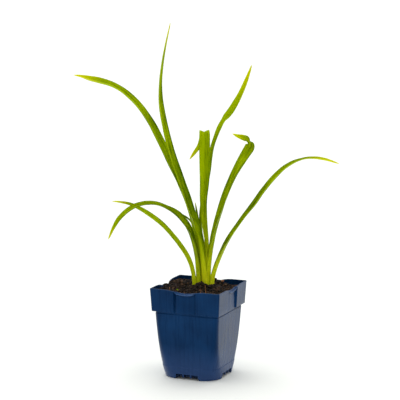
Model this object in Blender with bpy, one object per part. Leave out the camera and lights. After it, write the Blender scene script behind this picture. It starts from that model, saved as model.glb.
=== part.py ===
"""A young daylily in a square nursery pot, standing on the pot's four corner feet.

Sizes are in millimetres and are turned to metres where a mesh is made. The origin is the
middle of the pot on the surface it stands on, +Z is up, and the pot's sides face X and Y.
"""
import math
from typing import NamedTuple

import bmesh
import bpy
from mathutils import Matrix, Vector, noise

MM = 0.001
GAP = 0.3                      # clearance between pieces that touch
SHARP_ANGLE = math.radians(30)

# Pot: a thin moulded shell with a wider band round the top
POT_HEIGHT = 110.0
RIM_HALF = 45.0                # half of the rim's outer side
BAND_HEIGHT = 28.0
BAND_FOOT_HALF = 43.4          # the band drafts inwards towards its lower edge
BAND_CORNER = 1.5
BODY_TOP_HALF = 41.3
BODY_FOOT_HALF = 36.3
BODY_TOP_CORNER = 6.0
BODY_FOOT_CORNER = 25.0        # the square body is nearly round at the foot
CORNER_GROWTH = 4
WALL = 1.2
UNDERSIDE = 2.5                # height of the floor above the standing surface
FLOOR_TOP = UNDERSIDE + WALL
SHOULDER_RISE = 1.2            # slope of the inner step from the body out to the band
BODY_LEVELS = (6, 15, 27, 43, 62)

# Sunk panel in the middle of each side of the band, under an arched lip
PANEL_HALF = 13.0
PANEL_STEP = 0.5               # half of the step's run
STEP_GROWTH = 0.9
PANEL_TOP_HALF = 42.0          # distance of the panel's face from the middle of the pot
PANEL_FOOT_HALF = 41.9
LIP_HALF = 20.0
RIM_DIP = 3.0
LIP_DIP = 5.3
LIP_SET_IN = 2.1
LIP_EDGE_SET_IN = 0.5
LIP_EDGE_DROP = 1.0            # the lip's lower edge lies this far under the rim
INNER_LIP_DROP = 1.6
RIM_CHAMFER = 0.4
INNER_RIM_CORNER = 0.8
LEAST_CORNER = 0.4
SIDE_STEPS = 4                 # stations from the middle of a side to each of its ends
CORNER_POINTS = 5
CORNER_START = 0.35            # the corner's points keep clear of the sides' last points
CORNER_CLOSE = 0.3

# Foot channels and drain slots
CHANNEL_WIDTH = 31.0
SLOT_WIDTH = 8.6
SLOT_PITCH = 10.0
SLOT_FOOT = 2.0
SLOT_TOP = 7.9
SLOT_REACH = 6.0               # how far a slot cuts in from the wall's outer face
CUT_BEYOND = 6.0               # a slot's cutter stands this far out of the wall
CUT_BELOW = 1.0                # the channels' cutter starts this far under the pot

# The plant's leaves stand in a fan, which is turned from the pot's front
FAN_TURN = math.radians(23.0)
CLUMP_ACROSS = 5.7             # middle of the leaf bases, in the fan's directions
CLUMP_BACK = 0.2
LEAF_FOOT = 98.0
BLADE = 0.7                    # thickness of a leaf
SECTION_PITCH = 9.0            # distance between a leaf's sections
CREASE_PITCH = 1.4
CREASE_MARGIN = 0.01           # share of a leaf's length left free beside a crease
ROUTE_STEPS = 16               # straight pieces of a leaf's route between two places

# Compost
FILL = 105.4
MOUNDS = (                     # rise, across, back, spread
    (4.6, 5.7, -1.0, 15.0),
    (6.0, -24.0, 10.0, 15.0),
    (5.5, 21.0, 24.0, 9.0),
    (3.0, -1.0, -9.0, 5.0),
)
FILL_FALL = 2.2                # the fill is lower on the right than on the left
LUMP = 1.5
LUMP_SIZE = 7.0
SURFACE_SHARES = (0.1, 0.25, 0.42, 0.6, 0.78, 0.92)
HOLE_HALF_ACROSS = 14.3
HOLE_HALF_BACK = 5.5
HOLE_CORNER = 4.6

# Crown and roots, in the hollow under the leaf hole: height, half across, half back, corner
NECK_LEVEL = 96.4
ROOT_HOLLOW = (
    (91.0, 19.0, 11.0, 9.0),
    (70.0, 23.0, 18.0, 14.0),
    (44.0, 20.0, 16.0, 13.0),
    (36.0, 12.0, 10.0, 8.0),
)
CROWN_LEVELS = (
    (84.0, 15.0, 9.0, 7.0),
    (78.0, 11.0, 7.0, 5.0),
)
ROOT_COUNT = 8
ROOT_SIDES = 7
ROOT_RADII = (1.3, 1.4, 2.2, 2.8, 2.2, 1.2, 0.6)
ROOT_SPREAD = (13.5, 9.0)
ROOT_START = 0.62              # share of the spread at which the roots leave the crown
ROOT_OPENING = 1.6             # the roots reach their full spread over the first 1 / 1.6 of their length
ROOT_CURL = 0.25               # and turn in again by this share at their ends
ROOT_TOP = 82.0
ROOT_END = 42.0
ROOT_STAGGER = 3.0             # difference in depth between neighbouring roots' ends


class Leaf(NamedTuple):
    """One strap leaf, as places along it from the foot to the tip.

    Each place holds its height, its distance across and back in the fan, the blade's width
    when opened flat, how far each half rises from flat, and which way the hollow side looks:
    0 back, 90 across, 180 forward and 270 to the fan's left (both angles in degrees).
    """

    name: str
    places: tuple
    creased: tuple = ()        # numbers of the places between which the sections lie closer


LEAVES = (
    Leaf("leaf_long_arching_left", (
        (98, 4.0, 1.9, 7, 56, 90),
        (115, 3.8, 2.0, 8.4, 56, 90),
        (137, 1.8, 2.7, 10, 54, 90),
        (164, -2.8, 3.6, 12, 50, 95),
        (202, -11.5, 4.8, 14.4, 42, 110),
        (231, -22.9, 5.4, 15, 36, 122),
        (260, -36.0, 7, 14.6, 32, 130),
        (289, -49.7, 9, 14.4, 30, 130),
        (315, -64.3, 11, 12.2, 28, 130),
        (333, -79.4, 14, 11.6, 26, 130),
        (348.1, -99.6, 16, 9.4, 24, 135),
        (354.8, -119.2, 18.5, 9.4, 20, 140),
        (357.1, -130, 20, 8.4, 18, 140),
        (360, -141.2, 21, 4, 16, 140),
        (361.4, -150, 22, 1.2, 16, 140))),
    Leaf("leaf_tallest", (
        (98, 6.8, -1.6, 7, 56, 90),
        (115, 6.8, -1.7, 8.4, 56, 90),
        (138, 5.0, -3.2, 9.2, 54, 95),
        (165, 1.2, -4.1, 11.6, 48, 108),
        (184, -4.2, -4.8, 13.6, 42, 118),
        (208, -12.0, -5.6, 14.4, 36, 126),
        (239, -22.4, -6.7, 13.4, 32, 130),
        (271, -32.9, -7.8, 12.2, 28, 130),
        (303, -40.6, -9.2, 10.4, 24, 134),
        (332, -45.1, -11, 8.6, 20, 130),
        (355, -45.4, -12.4, 6.8, 18, 120),
        (389, -41.1, -14, 5, 15, 115),
        (424.5, -33.4, -16, 1.3, 12, 112))),
    Leaf("leaf_centre_folded_over", (
        (98, 9.5, -1.4, 6.6, 58, 90),
        (115, 9.4, -1.3, 7.4, 58, 92),
        (137, 9.9, -1.2, 7.8, 57, 105),
        (164, 8.6, 0.2, 9.6, 56, 145),
        (183, 7.1, 0.8, 10.4, 53, 165),
        (198, 6.3, 1.0, 11.2, 50, 178),
        (213, 5.6, 1.4, 12.4, 47, 180),
        (237, 6.9, 2, 14.2, 38, 180),
        (261, 6.9, 2.6, 14.2, 30, 180),
        (285, 6.9, 3.4, 14.2, 26, 180),
        (293.4, 6.8, 4.4, 13.4, 24, 177),
        (295.6, 6.4, 7, 12, 22, 172),
        (291.4, 5.5, 9.6, 9.2, 20, 174),
        (285, 3.8, 10.2, 7.6, 18, 178),
        (277.3, 0.8, 10.6, 6, 16, 180),
        (269, -4.9, 11, 4.8, 14, 180),
        (260.6, -11.1, 11.5, 1.2, 12, 180)), (9, 13)),
    Leaf("leaf_upright_right", (
        (98, 7.6, 3.5, 5, 56, 270),
        (112, 7.5, 3.8, 5.2, 56, 270),
        (130, 6.8, 6.4, 6, 55, 270),
        (145, 4.7, 8.0, 6.6, 53, 267),
        (160, 2.9, 8.5, 7, 50, 260),
        (173, 2.5, 8.7, 7.6, 47, 252),
        (188, 3.3, 9, 8.6, 42, 240),
        (203, 4.9, 9.4, 9.4, 38, 228),
        (218, 7.1, 9.8, 10, 35, 217),
        (233, 9.3, 10.1, 10, 34, 215),
        (250, 12.2, 10.5, 9.6, 34, 216),
        (267, 14.9, 11, 8, 32, 222),
        (278, 17.3, 11.6, 6.6, 29, 222),
        (288, 20.5, 12.3, 6.2, 26, 218),
        (298.3, 24.6, 13.4, 6.8, 24, 215),
        (308.5, 30.2, 15, 6.6, 24, 214),
        (311.8, 32.8, 15.4, 8.2, 21, 202),
        (318, 37.8, 16.5, 8.4, 20, 195),
        (326.5, 43.1, 17.5, 7.8, 19, 192),
        (339, 49.9, 19, 6.1, 18, 190),
        (356, 57.2, 20.7, 4.4, 16, 185),
        (373.5, 63.6, 22, 1.2, 14, 180))),
    Leaf("leaf_kinked_right", (
        (98, 13.4, -1, 7, 56, 270),
        (115, 13.5, -1, 8, 56, 270),
        (137, 14.2, -1.2, 9.6, 54, 268),
        (164, 16.6, -1.6, 13, 48, 260),
        (180, 20.2, -2.2, 13.2, 45, 254),
        (203.8, 27.5, -2.9, 14, 38, 240),
        (237.8, 39.4, -4.4, 11, 31, 222),
        (255.8, 48.1, -5.2, 11.4, 26, 210),
        (271.2, 57.1, -6, 12.8, 22, 204),
        (278.2, 61.0, -6.5, 13, 20, 204),
        (282.2, 61.6, -7, 9.8, 20, 206),
        (284.6, 59.9, -7.4, 6.6, 22, 225),
        (288, 57.3, -7.6, 9.2, 22, 208),
        (289.6, 52.6, -7.2, 8.4, 20, 205),
        (291.2, 46.3, -6.7, 4.8, 18, 200),
        (293.7, 39.8, -6, 1.2, 16, 200)), (9, 13)),
    Leaf("leaf_arching_right", (
        (98, 16.4, -1, 7.6, 54, 270),
        (114, 16.4, -1, 9, 54, 270),
        (125, 17.6, -1.6, 10.2, 52, 268),
        (144.8, 25.0, -2.6, 10.4, 46, 260),
        (164.7, 35.1, -4, 10.6, 40, 252),
        (185.7, 48.7, -5.5, 9.4, 35, 245),
        (210, 66.5, -7.2, 9.6, 30, 236),
        (226.8, 77.8, -9, 8.6, 28, 232),
        (244, 91.8, -11.2, 8.4, 26, 234),
        (257.4, 106.9, -13.5, 6.6, 24, 238),
        (264.2, 121, -16, 4, 20, 242),
        (266.3, 132.7, -18.5, 4, 18, 242),
        (265.2, 147.3, -21, 4.2, 16, 242),
        (260, 165.4, -24, 1.3, 14, 242))),
    Leaf("leaf_drooping_left", (
        (98, -1.2, -1, 7.4, 56, 90),
        (115, -1.1, -1.2, 8.6, 56, 90),
        (128, -1.6, -1.6, 9.6, 54, 92),
        (145, -3.0, -2.4, 10.6, 50, 96),
        (164.8, -7.1, -3.1, 13, 44, 102),
        (177.7, -11.9, -4.4, 13.6, 38, 112),
        (186.4, -17.1, -5.8, 12.8, 34, 122),
        (197.5, -25.7, -8.6, 9.2, 28, 130),
        (206.6, -39.4, -12, 5.6, 26, 130),
        (211, -49.9, -14.6, 5.3, 25, 130),
        (212.1, -61.2, -17, 5.8, 24, 130),
        (211.4, -68.2, -19, 5.8, 23, 130),
        (208.7, -77, -21, 6, 22, 132),
        (196.2, -93.2, -25, 5.7, 22, 135),
        (185.8, -100.2, -27.5, 4.2, 20, 138),
        (170.5, -107.2, -30, 1.3, 16, 140))),
    Leaf("leaf_low_left", (
        (98, -6.0, 1, 7, 56, 90),
        (112, -6.1, 1.1, 8, 56, 90),
        (125, -7.4, 1.6, 9.8, 54, 88),
        (140.8, -12.4, 2.6, 11.6, 49, 82),
        (158.6, -23.8, 4, 13, 40, 74),
        (169.2, -32.5, 5.6, 13.4, 35, 69),
        (178.4, -41, 7.4, 13.2, 32, 65),
        (187.4, -51.8, 9.5, 13.2, 29, 62),
        (194.7, -62.9, 12, 12, 26, 60),
        (200.9, -73.6, 14, 9, 22, 58),
        (205.1, -83.2, 16.5, 6.8, 20, 58),
        (207.6, -96.5, 19, 4, 18, 58),
        (208.2, -105, 22, 1.2, 16, 58))),
    Leaf("leaf_short_inner", (
        (98, 11.4, 3.4, 3.2, 48, 90),
        (114, 11.2, 3.9, 3.4, 48, 90),
        (130, 9.8, 7.4, 3.8, 48, 92),
        (143, 6.8, 11, 4.4, 44, 100),
        (164, 2.2, 14, 5, 38, 114),
        (186, -1.4, 14, 4.8, 32, 124),
        (197, -2.9, 12.6, 3.8, 28, 128),
        (208.5, -4.3, 12.2, 1, 25, 130))),
    Leaf("leaf_small_side", (
        (98, -2.7, 4.1, 3, 48, 90),
        (113, -2.7, 4.3, 3.2, 48, 90),
        (125, -2.3, 5.6, 3.6, 48, 90),
        (145, -1.8, 8.8, 4, 45, 90),
        (165, -2.4, 11.4, 4.4, 42, 90),
        (177, -5.0, 12, 4.8, 38, 92),
        (185, -9.4, 11.4, 4.8, 35, 94),
        (190, -14.6, 9.8, 4.2, 32, 96),
        (193.6, -19.6, 7.8, 3, 28, 98),
        (197, -26, 5.2, 1.2, 25, 100))),
)


def empty_the_scene():
    """Removes whatever the scene holds."""
    for item in list(bpy.data.objects):
        bpy.data.objects.remove(item)


def material(name, colour, roughness):
    """A plain surface of one colour, given as sRGB hex digits."""
    finish = bpy.data.materials.new(name)
    finish.use_nodes = True
    shader = finish.node_tree.nodes["Principled BSDF"]
    channels = [int(colour[i:i + 2], 16) / 255 for i in (0, 2, 4)]
    linear = [c / 12.92 if c <= 0.04045 else ((c + 0.055) / 1.055) ** 2.4 for c in channels]
    shader.inputs["Base Color"].default_value = (*linear, 1)
    shader.inputs["Roughness"].default_value = roughness
    shader.inputs["Metallic"].default_value = 0
    finish.diffuse_color = (*linear, 1)
    return finish


def add_object(name, mesh_data, finish=None):
    """Links a bmesh, in millimetres, to the scene as an object in metres."""
    bmesh.ops.recalc_face_normals(mesh_data, faces=mesh_data.faces)
    mesh_data.transform(Matrix.Scale(MM, 4))
    mesh = bpy.data.meshes.new(name)
    mesh_data.to_mesh(mesh)
    mesh_data.free()
    mesh.shade_smooth()
    mesh.set_sharp_from_angle(angle=SHARP_ANGLE)
    item = bpy.data.objects.new(name, mesh)
    bpy.context.collection.objects.link(item)
    if finish:
        mesh.materials.append(finish)
    return item


def as_cutter(item):
    """Keeps a cutting or guiding object out of the model."""
    item.hide_render = True
    item.display_type = "WIRE"
    return item


def add_loft(body, rows):
    """Adds a closed piece through rows of equal point counts, with a flat cap at each end."""
    loops = [[body.verts.new(point) for point in row] for row in rows]
    count = len(loops[0])
    for lower, upper in zip(loops, loops[1:]):
        for i in range(count):
            j = (i + 1) % count
            body.faces.new((lower[i], lower[j], upper[j], upper[i]))
    body.faces.new(loops[0])
    body.faces.new(loops[-1])


def loft(rows):
    """One closed body through rows of points."""
    body = bmesh.new()
    add_loft(body, rows)
    return body


def lip_share(along):
    """How far the rim has dipped at a place along a side: 1 in the middle, 0 at the lip's ends."""
    if abs(along) >= LIP_HALF:
        return 0.0
    return math.cos(math.pi * along / (2 * LIP_HALF)) ** 2


def no_height(along):
    """The height of a level row."""
    return 0.0


def outline(half, corner, height, panel=None, wider=0.0, set_in=0.0, dip=no_height):
    """A row of points round the pot, anticlockwise from above.

    half is the distance of the sides, corner the corners' radius, panel the distance of the
    sunk panels where the row crosses them, wider their growth to each side, set_in the lip's
    set-back and dip its fall.
    """
    step = PANEL_HALF + wider
    right = (0.0, step / 2, step - PANEL_STEP, step + PANEL_STEP, LIP_HALF)    # SIDE_STEPS and the middle
    stations = [-s for s in reversed(right[1:])] + list(right)
    flat = half - corner
    start = math.asin(max(0.0, LIP_HALF - flat) / corner)
    row = []
    for quarter in range(4):
        turn = Matrix.Rotation(quarter * math.pi / 2, 3, "Z")
        for along in stations:
            beyond = max(0.0, abs(along) - flat)
            out = flat + math.sqrt(corner ** 2 - beyond ** 2)
            if panel is not None and abs(along) < step:
                out = panel
            row.append(turn @ Vector((out - set_in * lip_share(along), along, height - dip(along))))
        for k in range(CORNER_POINTS):
            share = (k + CORNER_START) / (CORNER_POINTS - CORNER_CLOSE)
            angle = start + (math.pi / 2 - 2 * start) * share
            x, y = flat + corner * math.cos(angle), flat + corner * math.sin(angle)
            row.append(turn @ Vector((x, y, height)))
    return row


def step_growth(offset):
    """How much wider a panel's recess is at an offset inwards. The compost's clears the pot's."""
    return STEP_GROWTH * offset ** 2


def body_row(height, offset=0.0):
    """A row of the pot's body at a height, moved inwards by an offset."""
    fall = 1 - height / (POT_HEIGHT - BAND_HEIGHT)
    half = BODY_TOP_HALF + (BODY_FOOT_HALF - BODY_TOP_HALF) * fall
    corner = BODY_TOP_CORNER + (BODY_FOOT_CORNER - BODY_TOP_CORNER) * fall ** CORNER_GROWTH
    return outline(half - offset, corner - offset, height, wider=step_growth(offset))


def band_row(height, offset, **shape):
    """A row of the band's inner side at a height, moved inwards from its outer face."""
    share = (height - (POT_HEIGHT - BAND_HEIGHT)) / BAND_HEIGHT
    half = BAND_FOOT_HALF + (RIM_HALF - BAND_FOOT_HALF) * share
    panel = PANEL_FOOT_HALF + (PANEL_TOP_HALF - PANEL_FOOT_HALF) * share
    return outline(half - offset, max(BAND_CORNER - offset, LEAST_CORNER), height, panel=panel - offset,
                   wider=step_growth(offset), **shape)


def lip_fall(along):
    """Fall of the lip's lower edge."""
    return LIP_DIP * lip_share(along)


def rim_fall(along):
    """Fall of the rim's top edge."""
    return RIM_DIP * lip_share(along)


def make_pot(finish):
    """The shell, its feet and drain slots."""
    band_foot = POT_HEIGHT - BAND_HEIGHT
    lip_foot = POT_HEIGHT - LIP_EDGE_DROP
    lip_edge = POT_HEIGHT - RIM_CHAMFER
    rim_edge, rim_inside = RIM_HALF - RIM_CHAMFER, RIM_HALF - WALL
    rows = [body_row(z) for z in (0.0, *BODY_LEVELS, band_foot)]
    rows.append(outline(BAND_FOOT_HALF, BAND_CORNER, band_foot, panel=PANEL_FOOT_HALF))
    rows.append(outline(RIM_HALF, BAND_CORNER, lip_foot, panel=PANEL_TOP_HALF, dip=lip_fall))
    rows.append(outline(RIM_HALF, BAND_CORNER, lip_edge, set_in=LIP_EDGE_SET_IN, dip=lip_fall))
    rows.append(outline(rim_edge, BAND_CORNER, POT_HEIGHT, set_in=LIP_SET_IN, dip=rim_fall))
    rows.append(outline(rim_inside, INNER_RIM_CORNER, POT_HEIGHT, wider=step_growth(WALL),
                        set_in=LIP_SET_IN, dip=rim_fall))
    rows.append(band_row(POT_HEIGHT - INNER_LIP_DROP, WALL, dip=lip_fall))
    rows.append(band_row(band_foot + SHOULDER_RISE, WALL))
    rows += [body_row(z, WALL) for z in (band_foot, *reversed(BODY_LEVELS), FLOOR_TOP)]
    pot = add_object("pot", loft(rows), finish)

    channel = CHANNEL_WIDTH / 2
    cross = bmesh.new()
    plan = []
    for quarter in range(4):
        turn = Matrix.Rotation(quarter * math.pi / 2, 3, "Z")
        for x, y in ((RIM_HALF, -channel), (RIM_HALF, channel), (channel, channel)):
            plan.append(cross.verts.new(turn @ Vector((x, y, -CUT_BELOW))))
    face = cross.faces.new(plan)
    lifted = bmesh.ops.extrude_face_region(cross, geom=[face])["geom"]
    bmesh.ops.translate(cross, verts=[v for v in lifted if isinstance(v, bmesh.types.BMVert)],
                        vec=(0, 0, UNDERSIDE + CUT_BELOW))
    slots = bmesh.new()
    length = SLOT_REACH + CUT_BEYOND
    for quarter in range(4):
        for place in (-1, 0, 1):
            middle = Vector((BODY_FOOT_HALF - SLOT_REACH + length / 2, place * SLOT_PITCH,
                             (SLOT_TOP + SLOT_FOOT) / 2))
            shape = Matrix.Rotation(quarter * math.pi / 2, 4, "Z") @ Matrix.Translation(middle)
            shape = shape @ Matrix.Diagonal((length, SLOT_WIDTH, SLOT_TOP - SLOT_FOOT, 1))
            bmesh.ops.create_cube(slots, size=1.0, matrix=shape)
    for name, cutter in (("channel_cutter", cross), ("slot_cutter", slots)):
        cut = pot.modifiers.new(name, "BOOLEAN")
        cut.operation = "DIFFERENCE"
        cut.object = as_cutter(add_object(name, cutter))
    return pot


def fan_point(up, across, back):
    """A point given in the fan's directions, in the pot's directions."""
    return Vector((across * math.cos(FAN_TURN) - back * math.sin(FAN_TURN),
                   across * math.sin(FAN_TURN) + back * math.cos(FAN_TURN), up))


def clump_row(height, half_across, half_back, corner, inset=0.0):
    """A rounded oblong round the leaf bases, with as many points as a row round the pot."""
    stations = [k / SIDE_STEPS for k in range(-SIDE_STEPS, SIDE_STEPS + 1)]
    row = []
    for quarter in range(4):
        long_side = quarter % 2 == 1
        out, half = (half_back, half_across) if long_side else (half_across, half_back)
        turn = Matrix.Rotation(FAN_TURN + quarter * math.pi / 2, 3, "Z")
        flat_out, flat = out - corner, half - corner
        middle = fan_point(height, CLUMP_ACROSS, CLUMP_BACK)
        for share in stations:
            row.append(middle + turn @ Vector((out - inset, share * flat, 0)))
        for k in range(CORNER_POINTS):
            angle = math.pi / 2 * (k + 1) / (CORNER_POINTS + 1)
            radius = corner - inset
            x, y = flat_out + radius * math.cos(angle), flat + radius * math.sin(angle)
            row.append(middle + turn @ Vector((x, y, 0)))
    return row


def surface_height(place):
    """Height of the compost's surface: a heap round the plant, a mound at the left and lumps."""
    turned = Matrix.Rotation(-FAN_TURN, 3, "Z") @ place
    across, back = turned.x, turned.y
    lumps = LUMP * noise.noise(Vector((across, back, 0)) / LUMP_SIZE)
    height = FILL - FILL_FALL * across / RIM_HALF + lumps
    for rise, mound_across, mound_back, spread in MOUNDS:
        height += rise * math.exp(-((across - mound_across) ** 2 + (back - mound_back) ** 2) / spread ** 2)
    return height


def make_soil(finish):
    """The compost: it fills the pot and has a plain hole that the leaves stand in."""
    band_foot = POT_HEIGHT - BAND_HEIGHT
    side = WALL + GAP
    rows = [body_row(z, side) for z in (FLOOR_TOP + GAP, *BODY_LEVELS, band_foot + GAP)]
    rows.append(band_row(band_foot + SHOULDER_RISE + GAP, side))
    edge = band_row(FILL - FILL_FALL, side)
    hole = clump_row(0.0, HOLE_HALF_ACROSS, HOLE_HALF_BACK, HOLE_CORNER)
    rows.append(edge)
    for share in (*SURFACE_SHARES, 1.0):
        row = []
        for outer, inner in zip(edge, hole):
            place = outer.lerp(inner, share)
            ease = min(1.0, share / SURFACE_SHARES[1])
            place.z = edge[0].z + (surface_height(place) - edge[0].z) * ease
            row.append(place)
        rows.append(row)
    rows.append(clump_row(NECK_LEVEL, HOLE_HALF_ACROSS, HOLE_HALF_BACK, HOLE_CORNER))
    rows += [clump_row(*level) for level in ROOT_HOLLOW]
    return add_object("potting_soil", loft(rows), finish)


def add_tube(body, points, radii, sides):
    """Adds a tapering round piece through points."""
    rows = []
    for i, (point, radius) in enumerate(zip(points, radii)):
        before, after = points[max(i - 1, 0)], points[min(i + 1, len(points) - 1)]
        turn = (after - before).to_track_quat("Z", "X")
        ring = []
        for k in range(sides):
            angle = math.tau * k / sides
            ring.append(point + turn @ Vector((radius * math.cos(angle), radius * math.sin(angle), 0)))
        rows.append(ring)
    add_loft(body, rows)


def make_crown(finish):
    """The crown that the leaves grow from, with its fleshy roots, as one body."""
    top = LEAF_FOOT - GAP
    rows = [clump_row(top, HOLE_HALF_ACROSS, HOLE_HALF_BACK, HOLE_CORNER, inset=GAP),
            clump_row(NECK_LEVEL - GAP, HOLE_HALF_ACROSS, HOLE_HALF_BACK, HOLE_CORNER, inset=GAP),
            clump_row(*ROOT_HOLLOW[0], inset=GAP)]
    rows += [clump_row(*level) for level in CROWN_LEVELS]
    crown = add_object("crown_and_roots", loft(rows), finish)
    roots = bmesh.new()
    levels = len(ROOT_RADII)
    for k in range(ROOT_COUNT):
        angle = math.tau * (k + 0.5) / ROOT_COUNT
        points = []
        for i in range(levels):
            share = i / (levels - 1)
            spread = math.sin(math.pi / 2 * min(1.0, share * ROOT_OPENING))
            reach = ROOT_START + (1 - ROOT_START) * spread - ROOT_CURL * share ** 3
            up = ROOT_TOP + (ROOT_END + ROOT_STAGGER * (k % 3) - ROOT_TOP) * share
            points.append(fan_point(up, CLUMP_ACROSS + ROOT_SPREAD[0] * math.cos(angle) * reach,
                                    CLUMP_BACK + ROOT_SPREAD[1] * math.sin(angle) * reach))
        add_tube(roots, points, ROOT_RADII, ROOT_SIDES)
    join = crown.modifiers.new("join_roots", "BOOLEAN")
    join.operation = "UNION"
    join.object = as_cutter(add_object("root_set", roots))
    return crown


def spacing(leaf):
    """Distance of each of a leaf's places from its foot, as shares of the way to the tip."""
    walked = [0.0]
    for near, far in zip(leaf.places, leaf.places[1:]):
        walked.append(walked[-1] + math.dist(near[:3], far[:3]))
    return [distance / walked[-1] for distance in walked]


def smooth_value(shares, values, share):
    """Reads a smooth line through values set at shares."""
    last = len(shares) - 1
    k = max(i for i in range(last) if shares[i] <= share or i == 0)
    slopes = []
    for i in (k, k + 1):
        low, high = max(i - 1, 0), min(i + 1, last)
        slopes.append((values[high] - values[low]) / (shares[high] - shares[low]))
    run = shares[k + 1] - shares[k]
    t = (share - shares[k]) / run
    return ((1 + 2 * t) * (1 - t) ** 2 * values[k] + t * (1 - t) ** 2 * run * slopes[0]
            + t * t * (3 - 2 * t) * values[k + 1] + t * t * (t - 1) * run * slopes[1])


def leaf_guide(leaf):
    """The curve that a leaf follows, with up along its own X, across along Y and back along Z."""
    curve = bpy.data.curves.new(leaf.name + "_route", "CURVE")
    curve.dimensions = "3D"
    curve.twist_mode = "MINIMUM"
    curve.resolution_u = ROUTE_STEPS
    spline = curve.splines.new("BEZIER")
    spline.tilt_interpolation = "CARDINAL"
    spline.bezier_points.add(len(leaf.places) - 1)
    for knot, (up, across, back, _, _, looks) in zip(spline.bezier_points, leaf.places):
        knot.co = Vector((up, across, back)) * MM
        knot.handle_left_type = knot.handle_right_type = "AUTO"
        knot.tilt = -math.radians(looks)
    guide = bpy.data.objects.new(leaf.name + "_route", curve)
    bpy.context.collection.objects.link(guide)
    guide.matrix_world = fan_frame()
    return as_cutter(guide)


def fan_frame():
    """Stands a piece modelled lying along X upright in the fan."""
    up, across, back = Vector((0, 0, 1)), fan_point(0, 1, 0), fan_point(0, 0, 1)
    return Matrix((up, across, back)).transposed().to_4x4()


def stations_of(leaf, shares, length):
    """Shares of a leaf's length at which its section is set, closer together at a crease."""
    count = round(length / SECTION_PITCH)
    places = [k / count for k in range(count + 1)]
    if leaf.creased:
        low, high = (shares[k] for k in leaf.creased)
        places = [p for p in places if not low - CREASE_MARGIN < p < high + CREASE_MARGIN]
        close = round((high - low) * length / CREASE_PITCH)
        places += [low + (high - low) * k / close for k in range(close + 1)]
    return sorted(places)


def blade(leaf, length):
    """A straight keeled blade along X, with its hollow side up."""
    body = bmesh.new()
    shares = spacing(leaf)
    widths = [place[3] for place in leaf.places]
    folds = [place[4] for place in leaf.places]
    sections = []
    for share in stations_of(leaf, shares, length):
        half = smooth_value(shares, widths, share) / 2
        fold = math.radians(smooth_value(shares, folds, share))
        wide, rise = half * math.cos(fold), half * math.sin(fold)
        side, lift = BLADE / 2 * math.sin(fold), BLADE / 2 * math.cos(fold)
        keel = BLADE / 2 / math.cos(fold)
        points = [(-wide + side, rise + lift), (0, keel), (wide - side, rise + lift),
                  (wide + side, rise - lift), (0, -keel), (-wide - side, rise - lift)]
        sections.append([body.verts.new((share * length, y, z - rise / 2)) for y, z in points])
    for near, far in zip(sections, sections[1:]):
        for keel, edge in ((1, 0), (1, 2), (4, 3), (4, 5)):
            body.faces.new((near[keel], near[edge], far[edge]))
            body.faces.new((near[keel], far[edge], far[keel]))
        for a, b in ((2, 3), (5, 0)):
            body.faces.new((near[a], near[b], far[b]))
            body.faces.new((near[a], far[b], far[a]))
    for end in (sections[0], sections[-1]):
        body.faces.new((end[0], end[1], end[4], end[5]))
        body.faces.new((end[1], end[2], end[3], end[4]))
    return body


def make_leaf(leaf, finish):
    """A leaf: a straight blade bent along its guide."""
    guide = leaf_guide(leaf)
    length = guide.data.splines[0].calc_length() / MM
    item = add_object(leaf.name, blade(leaf, length), finish)
    item.matrix_world = fan_frame()
    bend = item.modifiers.new("follow_route", "CURVE")
    bend.object = guide
    bend.deform_axis = "POS_X"
    return item


def main():
    """Builds the whole plant in its pot."""
    empty_the_scene()
    make_pot(material("moulded_polypropylene", "1E3A63", 0.35))
    make_soil(material("peat_compost", "2A1E17", 0.95))
    make_crown(material("fleshy_root", "B79B63", 0.7))
    leaf_finish = material("leaf_tissue", "7E9F12", 0.45)
    for leaf in LEAVES:
        make_leaf(leaf, leaf_finish)


if __name__ == "__main__":
    main()
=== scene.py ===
"""The looks of a young daylily: a fan of strap leaves in a square nursery pot of compost.

Sizes are in millimetres and become metres where a mesh is made. +Z is up, the origin is the
middle of the pot on the surface it stands on, and the pot's sides face X and Y.
"""

import logging
import math
import random
from collections.abc import Iterator
from contextlib import contextmanager
from dataclasses import dataclass
from enum import Enum
from functools import partial

import bmesh
import bpy
from mathutils import Matrix, Vector, noise


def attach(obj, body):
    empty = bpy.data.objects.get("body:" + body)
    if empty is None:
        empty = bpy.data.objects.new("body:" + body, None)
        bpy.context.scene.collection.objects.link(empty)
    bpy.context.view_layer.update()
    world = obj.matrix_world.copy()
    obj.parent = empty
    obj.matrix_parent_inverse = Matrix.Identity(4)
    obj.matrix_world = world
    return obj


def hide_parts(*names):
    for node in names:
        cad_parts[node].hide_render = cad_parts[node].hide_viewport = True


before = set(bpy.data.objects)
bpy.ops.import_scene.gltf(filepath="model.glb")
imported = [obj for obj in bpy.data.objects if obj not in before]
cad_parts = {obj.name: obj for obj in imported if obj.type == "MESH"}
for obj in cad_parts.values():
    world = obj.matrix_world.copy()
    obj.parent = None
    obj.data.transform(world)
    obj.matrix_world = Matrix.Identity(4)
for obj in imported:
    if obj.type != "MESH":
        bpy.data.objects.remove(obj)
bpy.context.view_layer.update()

MM = 0.001
FAN_TURN = math.radians(23.0)  # the fan of leaves is turned from the pot's front
CHART_MM = 60.0  # length of leaf in one unit of the blades' map

log = logging.getLogger("daylily")


class Slot(Enum):
    """The material slots of the part."""

    POT = "pot_plastic"
    COMPOST = "compost"
    ROOT = "root"
    LEAF = "leaf"


# Shared helpers


def linear(colour: str) -> tuple[float, float, float, float]:
    """Turns an sRGB colour to linear light.

    Args:
        colour: Six hex digits.

    Returns:
        Red, green, blue and alpha.
    """
    channels = [int(colour[i : i + 2], 16) / 255 for i in (0, 2, 4)]
    light = [c / 12.92 if c <= 0.04045 else ((c + 0.055) / 1.055) ** 2.4 for c in channels]
    return (*light, 1.0)


def clamped(share: float) -> float:
    """Keeps a share between 0 and 1."""
    return max(0.0, min(1.0, share))


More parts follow.
